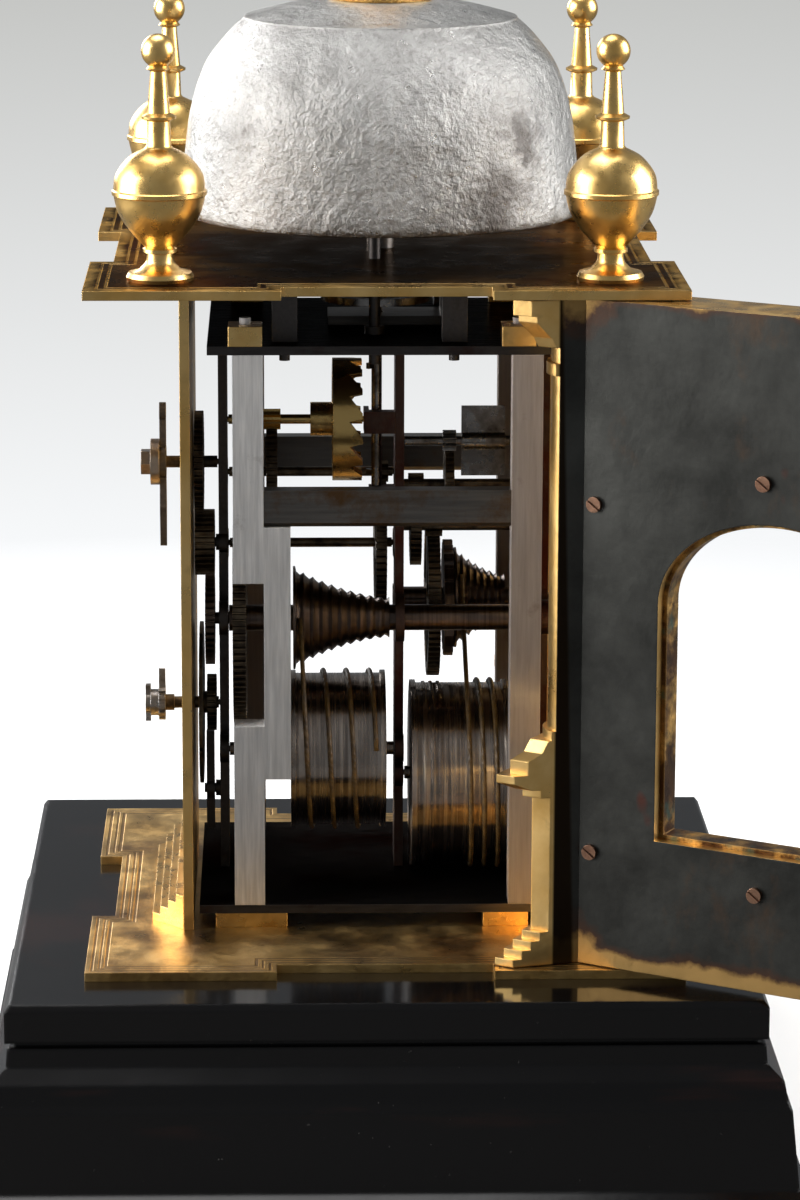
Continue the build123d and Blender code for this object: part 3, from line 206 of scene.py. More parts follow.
def plate_inset(tree, place, half):
    """How far inside a plate's stepped outline a point lies, in metres."""
    split = tree.nodes.new("ShaderNodeSeparateXYZ")
    tree.links.new(place, split.inputs[0])
    across = combine(tree, "ABSOLUTE", split.outputs["X"], 0)
    along = combine(tree, "ABSOLUTE", split.outputs["Y"], 0)
    furthest = combine(tree, "MAXIMUM", across, along)
    nearest = combine(tree, "MINIMUM", across, along)
    from_side = combine(tree, "SUBTRACT", half - PLATE_RECESS, furthest)
    from_corner = combine(tree, "SUBTRACT", half, furthest)
    from_step = combine(tree, "SUBTRACT", nearest, half - PLATE_BLOCK)
    in_block = combine(tree, "MINIMUM", from_corner, from_step)
    return combine(tree, "MAXIMUM", from_side, in_block)


def scored_line(tree, inset, at, width):
    """1 along a line at a distance inside the outline."""
    off = combine(tree, "ABSOLUTE", combine(tree, "SUBTRACT", inset, at), 0)
    return remap(tree, off, width * 0.6, width, 1, 0)


base_gilding, tree, shader, place = new_finish("engraved_gilding")
tone = cloudy_gilt(tree, place, 60)
rubbed = remap(tree, mottle(tree, place, 34, 8), 0.46, 0.64, 0.12, 0.9)
inset = plate_inset(tree, place, BASE_PLATE_HALF)
outer_line = scored_line(tree, inset, 0.0017, 0.00045)
middle_line = scored_line(tree, inset, 0.0036, 0.00035)
inner_line = scored_line(tree, inset, 0.0052, 0.00055)
lines = combine(tree, "MAXIMUM", combine(tree, "MAXIMUM", outer_line, inner_line), middle_line)
dark = combine(tree, "MAXIMUM", rubbed, combine(tree, "MULTIPLY", lines, 0.8))
tree.links.new(blend_colour(tree, dark, tone, GILT_WORN), shader.inputs["Base Color"])
uneven_metal(tree, shader, mottle(tree, place, 120), 0.26, 0.48)
strokes = mottle(tree, place, 420, 5, rough=0.75)
cuts = combine(tree, "SUBTRACT", strokes, combine(tree, "MULTIPLY", lines, 2))
raise_grain(tree, shader, cuts, 0.00025, 0.7, corner=0.0003)
clad("base_plate", base_gilding)


# The stepped base mouldings and small cornices of the case and doors are cast in brass, chased
# and fire gilt, and the movement's feet and nuts are gilt like them. The gilding is bright, with
# brown patches of old dirt.
def dirty_gilt(tree, place, cloud_scale, dirt_scale):
    """Cloudy gilding with old dirt in patches."""
    dirt = remap(tree, mottle(tree, place, dirt_scale, 8), 0.58, 0.76, 0, 0.6)
    return blend_colour(tree, dirt, cloudy_gilt(tree, place, cloud_scale), GILT_WORN)


case_gilding, tree, shader, place = new_finish("case_gilding")
tree.links.new(dirty_gilt(tree, place, 75, 90), shader.inputs["Base Color"])
uneven_metal(tree, shader, mottle(tree, place, 160), 0.2, 0.4)
raise_grain(tree, shader, mottle(tree, place, 260, 4), 0.0003, 0.45, corner=0.0004)
for side in ("right", "left"):
    clad(f"{side}_door_mouldings", case_gilding)
for node in ("case_base_mouldings", "case_cornices", "movement_feet", "movement_nuts"):
    clad(node, case_gilding)


# The front and back plates are gilt sheet brass that stands in the base plate. The front one
# carries the dial side's arbors, with an hour circle and a small circle engraved round them.
PLATE_FACE = -0.0525
HOUR = 2 * math.pi / 12
RING_EDGE = 0.0002
WAX_BLACK = (0.012, 0.010, 0.009)


def engraved_circle(tree, place, height, outer, inner):
    """1 on two rings and the hour strokes between them, on the front plate's outer face."""
    split = tree.nodes.new("ShaderNodeSeparateXYZ")
    tree.links.new(place, split.inputs[0])
    across = split.outputs["X"]
    upward = combine(tree, "SUBTRACT", split.outputs["Z"], height)
    across_squared = combine(tree, "MULTIPLY", across, across)
    upward_squared = combine(tree, "MULTIPLY", upward, upward)
    reach = combine(tree, "SQRT", combine(tree, "ADD", across_squared, upward_squared), 0)
    outer_ring = scored_line(tree, reach, outer, 0.0005)
    inner_ring = scored_line(tree, reach, inner, 0.0004)
    rings = combine(tree, "MAXIMUM", outer_ring, inner_ring)
    turned = combine(tree, "ADD", combine(tree, "ARCTAN2", across, upward), math.pi + HOUR / 2)
    off_hour = combine(tree, "SUBTRACT", combine(tree, "MODULO", turned, HOUR), HOUR / 2)
    beside = combine(tree, "MULTIPLY", combine(tree, "ABSOLUTE", off_hour, 0), reach)
    stroke = remap(tree, beside, 0.0007, 0.001, 1, 0)
    past_inner = remap(tree, reach, inner, inner + RING_EDGE, 0, 1)
    short_of_outer = remap(tree, reach, outer - RING_EDGE, outer, 1, 0)
    between = combine(tree, "MULTIPLY", past_inner, short_of_outer)
    circle = combine(tree, "MAXIMUM", rings, combine(tree, "MULTIPLY", stroke, between))
    on_face = remap(tree, split.outputs["Y"], PLATE_FACE - 0.0001, PLATE_FACE + 0.0001, 1, 0)
    return combine(tree, "MULTIPLY", circle, on_face)


def gilt_sheet(name, circles=()):
    """Gilt sheet with tarnish in clouds and any engraved circles, filled with black wax."""
    finish, tree, shader, place = new_finish(name)
    tarnish = remap(tree, mottle(tree, place, 40, 9), 0.55, 0.75, 0, 0.7)
    tone = blend_colour(tree, tarnish, cloudy_gilt(tree, place, 30), GILT_WORN)
    height = mottle(tree, place, 500, 4, (1, 1, 0.2))
    for circle in circles:
        cut = engraved_circle(tree, place, *circle)
        tone = blend_colour(tree, combine(tree, "MULTIPLY", cut, 0.92), tone, WAX_BLACK)
        height = combine(tree, "SUBTRACT", height, cut)
    tree.links.new(tone, shader.inputs["Base Color"])
    uneven_metal(tree, shader, mottle(tree, place, 200), 0.24, 0.42)
    raise_grain(tree, shader, height, 0.00012, 0.5, corner=0.0003)
    return finish


MAIN_HAND_HEIGHT = 0.1811
SMALL_HAND_HEIGHT = 0.1144
hour_circle = (MAIN_HAND_HEIGHT, 0.0345, 0.0248)
small_circle = (SMALL_HAND_HEIGHT, 0.0158, 0.0110)
clad("front_plate", gilt_sheet("engraved_dial", (hour_circle, small_circle)))
clad("back_plate", gilt_sheet("sheet_gilding"))


# The movement's posts, plates and bars are wrought iron, filed along their length. The posts
# are bright grey with brown stains, the plates and bars nearly black or rusty, and the corners
# of all are the brightest.
POST_GLEAM = (0.6, 0.8, 0)


def stretch_gleam(tree, shader, along):
    """Draws highlights out along a direction, as fine tool lines across it do."""
    direction = tree.nodes.new("ShaderNodeCombineXYZ")
    for socket, part in zip(direction.inputs, along):
        socket.default_value = part
    tree.links.new(direction.outputs[0], shader.inputs["Tangent"])
    shader.inputs["Anisotropic"].default_value = 0.9


def filed_iron(name, bright, stain, stretch, stained, rough, edge_tint=1.0, drawn=False):
    """Iron with file marks along one direction and stains in patches."""
    finish, tree, shader, place = new_finish(name)
    marks = mottle(tree, place, 900, 3, stretch)
    tone = remap(tree, marks, 0.3, 0.7, 0.72, 1.0)
    shaded = tree.nodes.new("ShaderNodeMix")
    shaded.data_type = "RGBA"
    shaded.blend_type = "MULTIPLY"
    shaded.inputs["Factor"].default_value = 1
    shaded.inputs[6].default_value = (*bright, 1)
    tree.links.new(tone, shaded.inputs[7])
    cloud = mottle(tree, place, 30, 9, rough=0.7)
    spots = remap(tree, cloud, 0.62 - stained, 0.74 - stained, 0, 0.9)
    polished = blend_colour(tree, spots, shaded.outputs[2], stain)
    worn = combine(tree, "MULTIPLY", edge_wear(tree, 0.0004), 0.6)
    edge = tuple(min(1.0, channel * 1.6) for channel in bright)
    tree.links.new(blend_colour(tree, worn, polished, edge), shader.inputs["Base Color"])
    shader.inputs["Metallic"].default_value = 1
    shader.inputs["Specular Tint"].default_value = (edge_tint, edge_tint, edge_tint, 1)
    roughness = remap(tree, marks, 0.25, 0.75, rough, rough + 0.16)
    tree.links.new(roughness, shader.inputs["Roughness"])
    if drawn:
        stretch_gleam(tree, shader, POST_GLEAM)
    raise_grain(tree, shader, marks, 0.00012, 0.6, corner=0.0003)
    return finish


post_iron = filed_iron(
    "draw_filed_posts", bright=(0.92, 0.90, 0.88), stain=(0.34, 0.29, 0.25),
    stretch=(1, 1, 0.06), stained=0.03, rough=0.56, drawn=True,
)
browner_iron = filed_iron(
    "browner_posts", bright=(0.50, 0.44, 0.40), stain=(0.22, 0.16, 0.13),
    stretch=(1, 1, 0.06), stained=0.06, rough=0.5, drawn=True,
)
plate_iron = filed_iron(
    "frame_plates", bright=(0.07, 0.063, 0.06), stain=(0.04, 0.016, 0.012),
    stretch=(1, 0.15, 1), stained=0.1, rough=0.3, edge_tint=0.12,
)
bar_iron = filed_iron(
    "side_bar_iron", bright=(0.17, 0.155, 0.14), stain=(0.12, 0.06, 0.022),
    stretch=(1, 0.05, 1), stained=0.1, rough=0.3,
)
red_iron = filed_iron(
    "rusty_pivot_bars", bright=(0.12, 0.075, 0.06), stain=(0.085, 0.02, 0.014),
    stretch=(1, 1, 0.3), stained=0.16, rough=0.42,
)
dark_iron = filed_iron(
    "dark_iron", bright=(0.11, 0.10, 0.095), stain=(0.035, 0.025, 0.02),
    stretch=(1, 1, 1), stained=0.08, rough=0.4,
)
clad("post_front_right", post_iron)
clad("plain_posts", browner_iron)
for node in ("movement_bottom_plate", "movement_top_plate"):
    clad(node, plate_iron)
for node in ("side_bars", "balance_cock"):
    clad(node, bar_iron)
for node in ("middle_pivot_bar", "rear_pivot_bar"):
    clad(node, red_iron)
for node in ("front_pivot_bar", "hanging_legs", "strike_hammer", "main_hand", "detent_lever"):
    clad(node, dark_iron)


# The wheels and pinions are cut by hand. Most are dark with old oil, while the crown wheel is
# clean yellow brass. The verge, fly, bell stand, door pins and small hand are turned steel.
def oiled_wheel(name, clean, oil, cover, rough):
    """Metal with oil dirt in patches and cleaner corners."""
    finish, tree, shader, place = new_finish(name)
    spread = remap(tree, mottle(tree, place, 130, 6), 0.5 - cover, 0.72 - cover, 0, 0.92)
    grimy = blend_colour(tree, spread, clean, oil)
    worn = combine(tree, "MULTIPLY", edge_wear(tree, 0.00025), 0.5)
    bright = tuple(min(1.0, channel * 1.5) for channel in clean)
    tree.links.new(blend_colour(tree, worn, grimy, bright), shader.inputs["Base Color"])
    shader.inputs["Metallic"].default_value = 1
    tree.links.new(remap(tree, spread, 0, 0.9, rough, rough + 0.2), shader.inputs["Roughness"])
    raise_grain(tree, shader, mottle(tree, place, 700, 3), 0.00012, 0.5, corner=0.0002)
    return finish


crown_brass = oiled_wheel(
    "crown_brass", clean=(0.72, 0.48, 0.17), oil=(0.25, 0.13, 0.05), cover=-0.02, rough=0.24
)
dull_brass = oiled_wheel(
    "oily_wheels", clean=(0.20, 0.15, 0.095), oil=(0.03, 0.022, 0.018), cover=0.12, rough=0.3
)
turned_steel = oiled_wheel(
    "turned_steel", clean=(0.34, 0.32, 0.30), oil=(0.06, 0.045, 0.035), cover=0.05, rough=0.25
)
collar_brass = oiled_wheel(
    "hand_collar", clean=(0.40, 0.33, 0.27), oil=(0.14, 0.08, 0.06), cover=0.05, rough=0.28
)
clad("crown_wheel", crown_brass)
for node in (
    "going_great_wheel", "second_wheel", "third_wheel", "strike_great_wheel", "pin_wheel",
    "warning_wheel", "motion_idler", "hour_wheel", "count_wheel",
):
    clad(node, dull_brass)
for node in (
    "verge_and_balance", "strike_fly", "bell_stand", "right_door_pins", "left_door_pins", "small_hand",
):
    clad(node, turned_steel)
clad("hand_collar_and_nut", collar_brass)


# The barrels and fusees are turned brass, darkened with age, and the fusees are nearly black.
# Fine turning lines round them draw the highlights out along their length.
BARREL_GLEAM = (0.05, 1, 0.03)


def turned_dark(name, dark, light, rough):
    """Dark turned brass with fine lines round an axis along Y."""
    finish, tree, shader, place = new_finish(name)
    rings = mottle(tree, place, 1100, 3, (0.02, 1, 0.02))
    cloud = mottle(tree, place, 55, 6)
    lit_rings = remap(tree, rings, 0.35, 0.7, 0.2, 1)
    lit_clouds = remap(tree, cloud, 0.35, 0.65, 0.3, 1)
    share = combine(tree, "MULTIPLY", lit_rings, lit_clouds)
    tree.links.new(blend_colour(tree, share, dark, light), shader.inputs["Base Color"])
    uneven_metal(tree, shader, rings, rough, rough + 0.14)
    stretch_gleam(tree, shader, BARREL_GLEAM)
    raise_grain(tree, shader, rings, 0.00012, 0.6, corner=0.00025)
    return finish


barrel_brass = turned_dark(
    "barrel_brass", dark=(0.14, 0.105, 0.085), light=(0.66, 0.58, 0.51), rough=0.2
)
fusee_brass = turned_dark("fusee_brass", dark=(0.08, 0.06, 0.05), light=(0.26, 0.2, 0.17), rough=0.28)
for train in ("going", "strike"):
    clad(f"{train}_barrel", barrel_brass)
    clad(f"{train}_fusee", fusee_brass)

# Two gut lines, twisted and oiled, each run tight from a fusee down to its barrel and are
# wound round it in open turns. They are golden brown in patches, with the twist in ridges.
GUT_RADIUS = 0.00065
GUT_GAP = 0.0001
GUT_SIDES = 10
GUT_STEPS_A_TURN = 40
GUT_DARK = (0.055, 0.030, 0.009)
GUT_LIGHT = (0.17, 0.095, 0.024)
gut_brown, tree, shader, place = new_finish("oiled_gut")
tone = remap(tree, mottle(tree, place, 300, 4), 0.35, 0.65, 0, 1)
tree.links.new(blend_colour(tree, tone, GUT_DARK, GUT_LIGHT), shader.inputs["Base Color"])
shader.inputs["Roughness"].default_value = 0.42
shader.inputs["Specular IOR Level"].default_value = 0.6
twist = tree.nodes.new("ShaderNodeTexWave")
twist.bands_direction = "DIAGONAL"
twist.inputs["Scale"].default_value = 420
twist.inputs["Distortion"].default_value = 2
tree.links.new(place, twist.inputs["Vector"])
raise_grain(tree, shader, twist.outputs["Fac"], 0.00012, 0.8)


def wind_gut(node, barrel, barrel_radius, fusee, fusee_radius, start_y, pitch, turns):
    """A gut line down from the fusee's tangent and round the barrel, in place of the node."""
    coil = barrel_radius + GUT_RADIUS + GUT_GAP
    line = fusee_radius + GUT_RADIUS + GUT_GAP
    span = math.dist(barrel, fusee)
    rise = math.atan2(fusee[1] - barrel[1], fusee[0] - barrel[0])
    side = rise - math.acos((coil - line) / span)
    run = math.sqrt(span**2 - (coil - line) ** 2)
    outward = Vector((math.cos(side), 0, math.sin(side)))
    down = Vector((math.sin(side), 0, -math.cos(side)))
    back = Vector((0, 1, 0))
    slope = pitch / (2 * math.pi * coil)
    way = (down + back * slope).normalized()
    middle = Vector((barrel[0], start_y, barrel[1]))
    mesh = bmesh.new()
    ring = bmesh.ops.create_circle(
        mesh, cap_ends=False, segments=GUT_SIDES, radius=GUT_RADIUS
    )["verts"]
    square = Matrix((way.cross(outward).normalized(), outward, way)).transposed().to_4x4()
    tangent_point = Matrix.Translation(middle + outward * coil)
    bmesh.ops.transform(mesh, matrix=tangent_point @ square, verts=ring)
    edges = list({edge for vert in ring for edge in vert.link_edges})
    steps = round(turns * GUT_STEPS_A_TURN)
    last = bmesh.ops.spin(
        mesh, geom=ring + edges, cent=middle, axis=outward.cross(down),
        dvec=back * (pitch * turns / steps), angle=2 * math.pi * turns, steps=steps,
        use_duplicate=False,
    )["geom_last"]
    bmesh.ops.holes_fill(mesh, edges=[part for part in last if isinstance(part, bmesh.types.BMEdge)])
    upper = bmesh.ops.extrude_edge_only(mesh, edges=edges)["geom"]
    top = [part for part in upper if isinstance(part, bmesh.types.BMVert)]
    bmesh.ops.translate(mesh, vec=-way * run * math.sqrt(1 + slope**2), verts=top)
    rim = [part for part in upper if isinstance(part, bmesh.types.BMEdge)]
    bmesh.ops.holes_fill(mesh, edges=rim)
    bmesh.ops.recalc_face_normals(mesh, faces=mesh.faces)
    for face in mesh.faces:
        face.smooth = len(face.verts) == 4
    data = bpy.data.meshes.new(node + "_line")
    mesh.to_mesh(data)
    piece = bpy.data.objects.new(node + "_line", data)
    scene.collection.objects.link(piece)
    data.materials.append(gut_brown)
    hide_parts(node)
    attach(piece, "case")


wind_gut(
    "going_gut", barrel=(0.008, 0.1034), barrel_radius=0.0205, fusee=(0.0085, 0.1399),
    fusee_radius=0.0120, start_y=-0.0200, pitch=0.0062, turns=3,
)
wind_gut(
    "strike_gut", barrel=(0.0045, 0.0956), barrel_radius=0.0245, fusee=(-0.0175, 0.1394),
    fusee_radius=0.01177, start_y=0.02345, pitch=0.0036, turns=2.5,
)


# The doors are sheet brass with an arched window, gilt outside and on their edges. Inside,
# the metal and the columns' flat backs are a dark bronze patina, worn through to gilding at
# the corners and edges. The columns' moulded outer halves are gilt. A dark band at the joint,
# widest at the foot, is brown patina with painted shade for the face that turns away there.
DOOR_HALF_WIDTH = 0.0528
DOOR_FOOT = 0.0648
DOOR_HEAD = 0.2393
PATINA_HALF_WIDTH = 0.0575
JOINT_INSET = 0.0007
BRONZE_DARK = (0.037, 0.037, 0.034)
BRONZE_LIGHT = (0.090, 0.090, 0.082)
BRONZE_WARM = (0.11, 0.062, 0.035)
BRONZE_RED = (0.12, 0.032, 0.020)
BRONZE_BROWN = (0.10, 0.045, 0.026)
BARE_GILT = (0.50, 0.31, 0.11)
JOINT_BROWN_AND_SHADE = (0.020, 0.012, 0.006)


def door_patina(name, outward, along, middle):
    """A patina on the inside face, out to the columns' joint, with a dark band of painted shade over
    brown at the joint, and gilding everywhere else.
    """
    finish, tree, shader, place = new_finish(name)
    normal = tree.nodes.new("ShaderNodeTexCoord")
    facing = tree.nodes.new("ShaderNodeVectorMath")
    facing.operation = "DOT_PRODUCT"
    facing.inputs[1].default_value = outward
    tree.links.new(normal.outputs["Normal"], facing.inputs[0])
    inside = remap(tree, facing.outputs["Value"], -0.66, -0.69, 0, 1)
    across = tree.nodes.new("ShaderNodeVectorMath")
    across.operation = "DOT_PRODUCT"
    across.inputs[1].default_value = along
    tree.links.new(place, across.inputs[0])
    from_middle = combine(tree, "SUBTRACT", across.outputs["Value"], middle)
    off_middle = combine(tree, "ABSOLUTE", from_middle, 0)
    split = tree.nodes.new("ShaderNodeSeparateXYZ")
    tree.links.new(place, split.inputs[0])
    height = split.outputs["Z"]
    short_of_joint = remap(tree, off_middle, PATINA_HALF_WIDTH, PATINA_HALF_WIDTH + 0.0004, 1, 0)
    inside = combine(tree, "MULTIPLY", inside, short_of_joint)
    cloud = remap(tree, mottle(tree, place, 16, 8, rough=0.65), 0.36, 0.66, 0, 1)
    bronze = blend_colour(tree, cloud, BRONZE_DARK, BRONZE_LIGHT)
    warm = remap(tree, mottle(tree, place, 24, 9, (1, 1, 0.6), 0.7), 0.55, 0.7, 0, 0.75)
    bronze = blend_colour(tree, warm, bronze, BRONZE_WARM)
    red = remap(tree, mottle(tree, place, 40, 3, (1, 1, 0.7)), 0.68, 0.74, 0, 0.85)
    bronze = blend_colour(tree, red, bronze, BRONZE_RED)
    to_side = combine(tree, "SUBTRACT", DOOR_HALF_WIDTH, off_middle)
    to_foot = combine(tree, "SUBTRACT", height, DOOR_FOOT)
    to_head = combine(tree, "SUBTRACT", DOOR_HEAD, height)
    to_end = combine(tree, "MINIMUM", to_foot, to_head)
    past_side = combine(tree, "MAXIMUM", to_side, 0)
    past_end = combine(tree, "MAXIMUM", to_end, 0)
    to_corner = combine(tree, "ADD", past_side, past_end)
    to_wear = combine(tree, "MINIMUM", combine(tree, "MULTIPLY", to_end, 3.2), to_corner)
    uneven = remap(tree, mottle(tree, place, 70, 8), 0.3, 0.7, -0.006, 0.006)
    ragged = combine(tree, "ADD", to_wear, uneven)
    bare = remap(tree, ragged, 0.0035, 0.0085, 0.9, 0)
    brown = remap(tree, ragged, 0.006, 0.014, 0.8, 0)
    bronze = blend_colour(tree, brown, bronze, BRONZE_BROWN)
    bronze = blend_colour(tree, bare, bronze, BARE_GILT)
    # A band at the joint, widening towards the foot, is painted near-black: painted shade over brown,
    # for the shadowed face there.
    joint_foot = DOOR_HALF_WIDTH + JOINT_INSET
    joint_head = PATINA_HALF_WIDTH - JOINT_INSET
    joint = remap(tree, height, DOOR_FOOT, DOOR_HEAD, joint_foot, joint_head)
    past_joint = combine(tree, "SUBTRACT", off_middle, joint)
    shade = remap(tree, past_joint, 0, 0.0006, 0, 0.93)
    bronze = blend_colour(tree, shade, bronze, JOINT_BROWN_AND_SHADE)
    gold = dirty_gilt(tree, place, 70, 110)
    tree.links.new(blend_colour(tree, inside, gold, bronze), shader.inputs["Base Color"])
    shader.inputs["Metallic"].default_value = 1
    polish = remap(tree, mottle(tree, place, 34, 7), 0.3, 0.7, 0.34, 0.52)
    roughness = combine(tree, "SUBTRACT", polish, remap(tree, inside, 0, 1, 0.1, 0))
    tree.links.new(roughness, shader.inputs["Roughness"])
    raise_grain(tree, shader, mottle(tree, place, 240, 6), 0.00018, 0.5, corner=0.0004)
    return finish


DOORS = (
    ("right", math.radians(149.3), (0.0973, 0.0961), 1),
    ("left", math.radians(-93.0), (-0.1197, 0.0514), -1),
)
for side, opened, door_middle, face in DOORS:
    outward = (face * math.cos(opened), face * math.sin(opened), 0)
    along = (-outward[1], outward[0], 0)
    middle = door_middle[0] * along[0] + door_middle[1] * along[1]
    patina = door_patina(f"{side}_door_patina", outward, along, middle)
    for node in ("door_panel", "front_column", "back_column"):
        clad(f"{side}_{node}", patina)

# The window rims are brass angle let into the doors. The reveal and the bevelled inner edge
# are corroded brown and green, with gilding left on the outer lip.
CORROSION_BROWN = (0.055, 0.026, 0.015)
CORROSION_GREEN = (0.07, 0.11, 0.085)
LIP_GILT = (0.55, 0.34, 0.13)
corroded_rim, tree, shader, place = new_finish("corroded_rim")
gold = blend_colour(tree, remap(tree, mottle(tree, place, 140, 6), 0.4, 0.6, 0, 1), GILT_WORN, GILT)
brown = remap(tree, mottle(tree, place, 60, 8, rough=0.7), 0.42, 0.56, 0, 0.95)
corroded = blend_colour(tree, brown, gold, CORROSION_BROWN)
green = remap(tree, mottle(tree, place, 85, 6), 0.56, 0.64, 0, 0.85)
corroded = blend_colour(tree, green, corroded, CORROSION_GREEN)
lip = combine(tree, "MULTIPLY", edge_wear(tree, 0.0006), 0.55)
tree.links.new(blend_colour(tree, lip, corroded, LIP_GILT), shader.inputs["Base Color"])
uneven_metal(tree, shader, mottle(tree, place, 180, 5), 0.24, 0.5)
raise_grain(tree, shader, mottle(tree, place, 380, 6), 0.0003, 0.6, corner=0.0003)
screw_brown = oiled_wheel(
    "screw_heads", clean=(0.30, 0.17, 0.11), oil=(0.10, 0.045, 0.03), cover=0.05, rough=0.35
)
for side in ("right", "left"):
    clad(f"{side}_window_frame", corroded_rim)
    clad(f"{side}_door_screws", screw_brown)

# The top plate is engraved brass with its gilding worn away on top to a dark brown, save for
# the rim and the scored lines. The bell's stand and the four finials are fixed on it.
TOP_PLATE_HALF = 0.076
TOP_BROWN = (0.045, 0.026, 0.016)
TOP_STREAK = (0.30, 0.17, 0.075)
TOP_EDGE_TINT = (0.35, 0.30, 0.26)
top_gilding, tree, shader, place = new_finish("top_plate_gilding")
gold = cloudy_gilt(tree, place, 70)
inset = plate_inset(tree, place, TOP_PLATE_HALF)
outer_line = scored_line(tree, inset, 0.0034, 0.0004)
inner_line = scored_line(tree, inset, 0.0056, 0.0005)
lines = combine(tree, "MAXIMUM", outer_line, inner_line)
normal = tree.nodes.new("ShaderNodeTexCoord")
split = tree.nodes.new("ShaderNodeSeparateXYZ")
tree.links.new(normal.outputs["Normal"], split.inputs[0])
flat = remap(tree, combine(tree, "ABSOLUTE", split.outputs["Z"], 0), 0.7, 0.9, 0, 1)
uneven = remap(tree, mottle(tree, place, 110, 8), 0.3, 0.7, -0.0016, 0.0016)
ragged = combine(tree, "ADD", inset, uneven)
worn = combine(tree, "MULTIPLY", remap(tree, ragged, 0.0012, 0.0034, 0, 0.95), flat)
off_lines = combine(tree, "SUBTRACT", 1, combine(tree, "MULTIPLY", lines, 0.7))
worn = combine(tree, "MULTIPLY", worn, off_lines)
streaks = remap(tree, mottle(tree, place, 48, 9, (1, 0.35, 1)), 0.52, 0.7, 0, 0.75)
brown = blend_colour(tree, streaks, TOP_BROWN, TOP_STREAK)
tree.links.new(blend_colour(tree, worn, gold, brown), shader.inputs["Base Color"])
shader.inputs["Specular Tint"].default_value = (*TOP_EDGE_TINT, 1)
uneven_metal(tree, shader, mottle(tree, place, 80, 6), 0.2, 0.42)
cuts = combine(tree, "SUBTRACT", mottle(tree, place, 300, 4), combine(tree, "MULTIPLY", lines, 2))
raise_grain(tree, shader, cuts, 0.0002, 0.5, corner=0.0003)
clad("top_plate", top_gilding)


# The bell is cast in pale bell metal and left rough and pitted from the mould, with dark stains
# low on its side. A gilt rosette nut clamps it to its post.
def spin_turned(name, outline, body, finish, nodes, places=((0, 0, 0),), steps=96):
    """Turned pieces from an outline of (radius, height) points, in place of CAD nodes."""
    mesh = bmesh.new()
    verts = [mesh.verts.new((radius, 0, height)) for radius, height in outline]
    edges = [mesh.edges.new(pair) for pair in zip(verts, verts[1:])]
    bmesh.ops.spin(
        mesh, geom=verts + edges, cent=(0, 0, 0), axis=(0, 0, 1), angle=2 * math.pi,
        steps=steps, use_merge=True, use_duplicate=False,
    )
    bmesh.ops.remove_doubles(mesh, verts=mesh.verts, dist=0.00001)
    bmesh.ops.recalc_face_normals(mesh, faces=mesh.faces)
    first = list(mesh.verts) + list(mesh.edges) + list(mesh.faces)
    for place in places[1:]:
        copied = bmesh.ops.duplicate(mesh, geom=first)["geom"]
        moved = [part for part in copied if isinstance(part, bmesh.types.BMVert)]
        bmesh.ops.translate(mesh, vec=place, verts=moved)
    stayed = [part for part in first if isinstance(part, bmesh.types.BMVert)]
    bmesh.ops.translate(mesh, vec=places[0], verts=stayed)
    for face in mesh.faces:
        face.smooth = True
    data = bpy.data.meshes.new(name)
    mesh.to_mesh(data)
    data.set_sharp_from_angle(angle=math.radians(38))
    piece = bpy.data.objects.new(name, data)
    scene.collection.objects.link(piece)
    data.materials.append(finish)
    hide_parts(*nodes)
    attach(piece, body)


def smooth_outline(points, between=6):
    """Points on a soft curve through the given (radius, height) points."""
    outline = []
    padded = [points[0], *points, points[-1]]
    for before, start, end, after in zip(padded, padded[1:], padded[2:], padded[3:]):
        for step in range(between):
            t = step / between
            outline.append(tuple(
                0.5 * (2 * b + (c - a) * t + (2 * a - 5 * b + 4 * c - d) * t**2
                       + (3 * b - a - 3 * c + d) * t**3)
                for a, b, c, d in zip(before, start, end, after)
            ))
    return outline + [points[-1]]


ROOF = 0.2393
RIM = ROOF + 0.0096
CROWN = RIM + 0.0565
BELL_RADIUS = 0.0528
BELL_HOLE = 0.0022
BELL_WALL = 0.0029
CROWN_WALL = 0.003
CROWN_WALL_FULL = 0.02
BELL_DARK = (0.24, 0.233, 0.222)
BELL_PALE = (0.49, 0.481, 0.464)
BELL_GRIME = (0.12, 0.11, 0.10)
BELL_PIT = (0.16, 0.15, 0.14)
BELL_STAIN = (0.07, 0.06, 0.055)
STAIN_PLACES = (
    ((0.043, 0.029, 0.2565), 0.013),
    ((0.030, -0.030, 0.275), 0.008),
    ((0.036, 0.036, 0.272), 0.008),
)
bell_metal, tree, shader, place = new_finish("rough_cast_bell")
cloud = remap(tree, mottle(tree, place, 30, 8, rough=0.65), 0.32, 0.68, 0, 1)
tone = blend_colour(tree, cloud, BELL_DARK, BELL_PALE)
grime = remap(tree, mottle(tree, place, 17, 5), 0.6, 0.72, 0, 0.75)
tone = blend_colour(tree, grime, tone, BELL_GRIME)
for stain, spread in STAIN_PLACES:
    reach = tree.nodes.new("ShaderNodeVectorMath")
    reach.operation = "DISTANCE"
    reach.inputs[1].default_value = stain
    tree.links.new(place, reach.inputs[0])
    uneven = remap(tree, mottle(tree, place, 160, 6), 0.3, 0.7, -0.005, 0.005)
    ragged = combine(tree, "ADD", reach.outputs["Value"], uneven)
    stained = remap(tree, ragged, spread * 0.3, spread, 0.75, 0)
    tone = blend_colour(tree, stained, tone, BELL_STAIN)
pits = remap(tree, mottle(tree, place, 520, 6, rough=0.7), 0.5, 0.66, 0, 0.45)
tree.links.new(blend_colour(tree, pits, tone, BELL_PIT), shader.inputs["Base Color"])
uneven_metal(tree, shader, mottle(tree, place, 200, 5), 0.26, 0.42)
rough_skin = combine(tree, "ADD", mottle(tree, place, 330, 6, rough=0.7), mottle(tree, place, 110, 3))
raise_grain(tree, shader, rough_skin, 0.0011, 1.0)
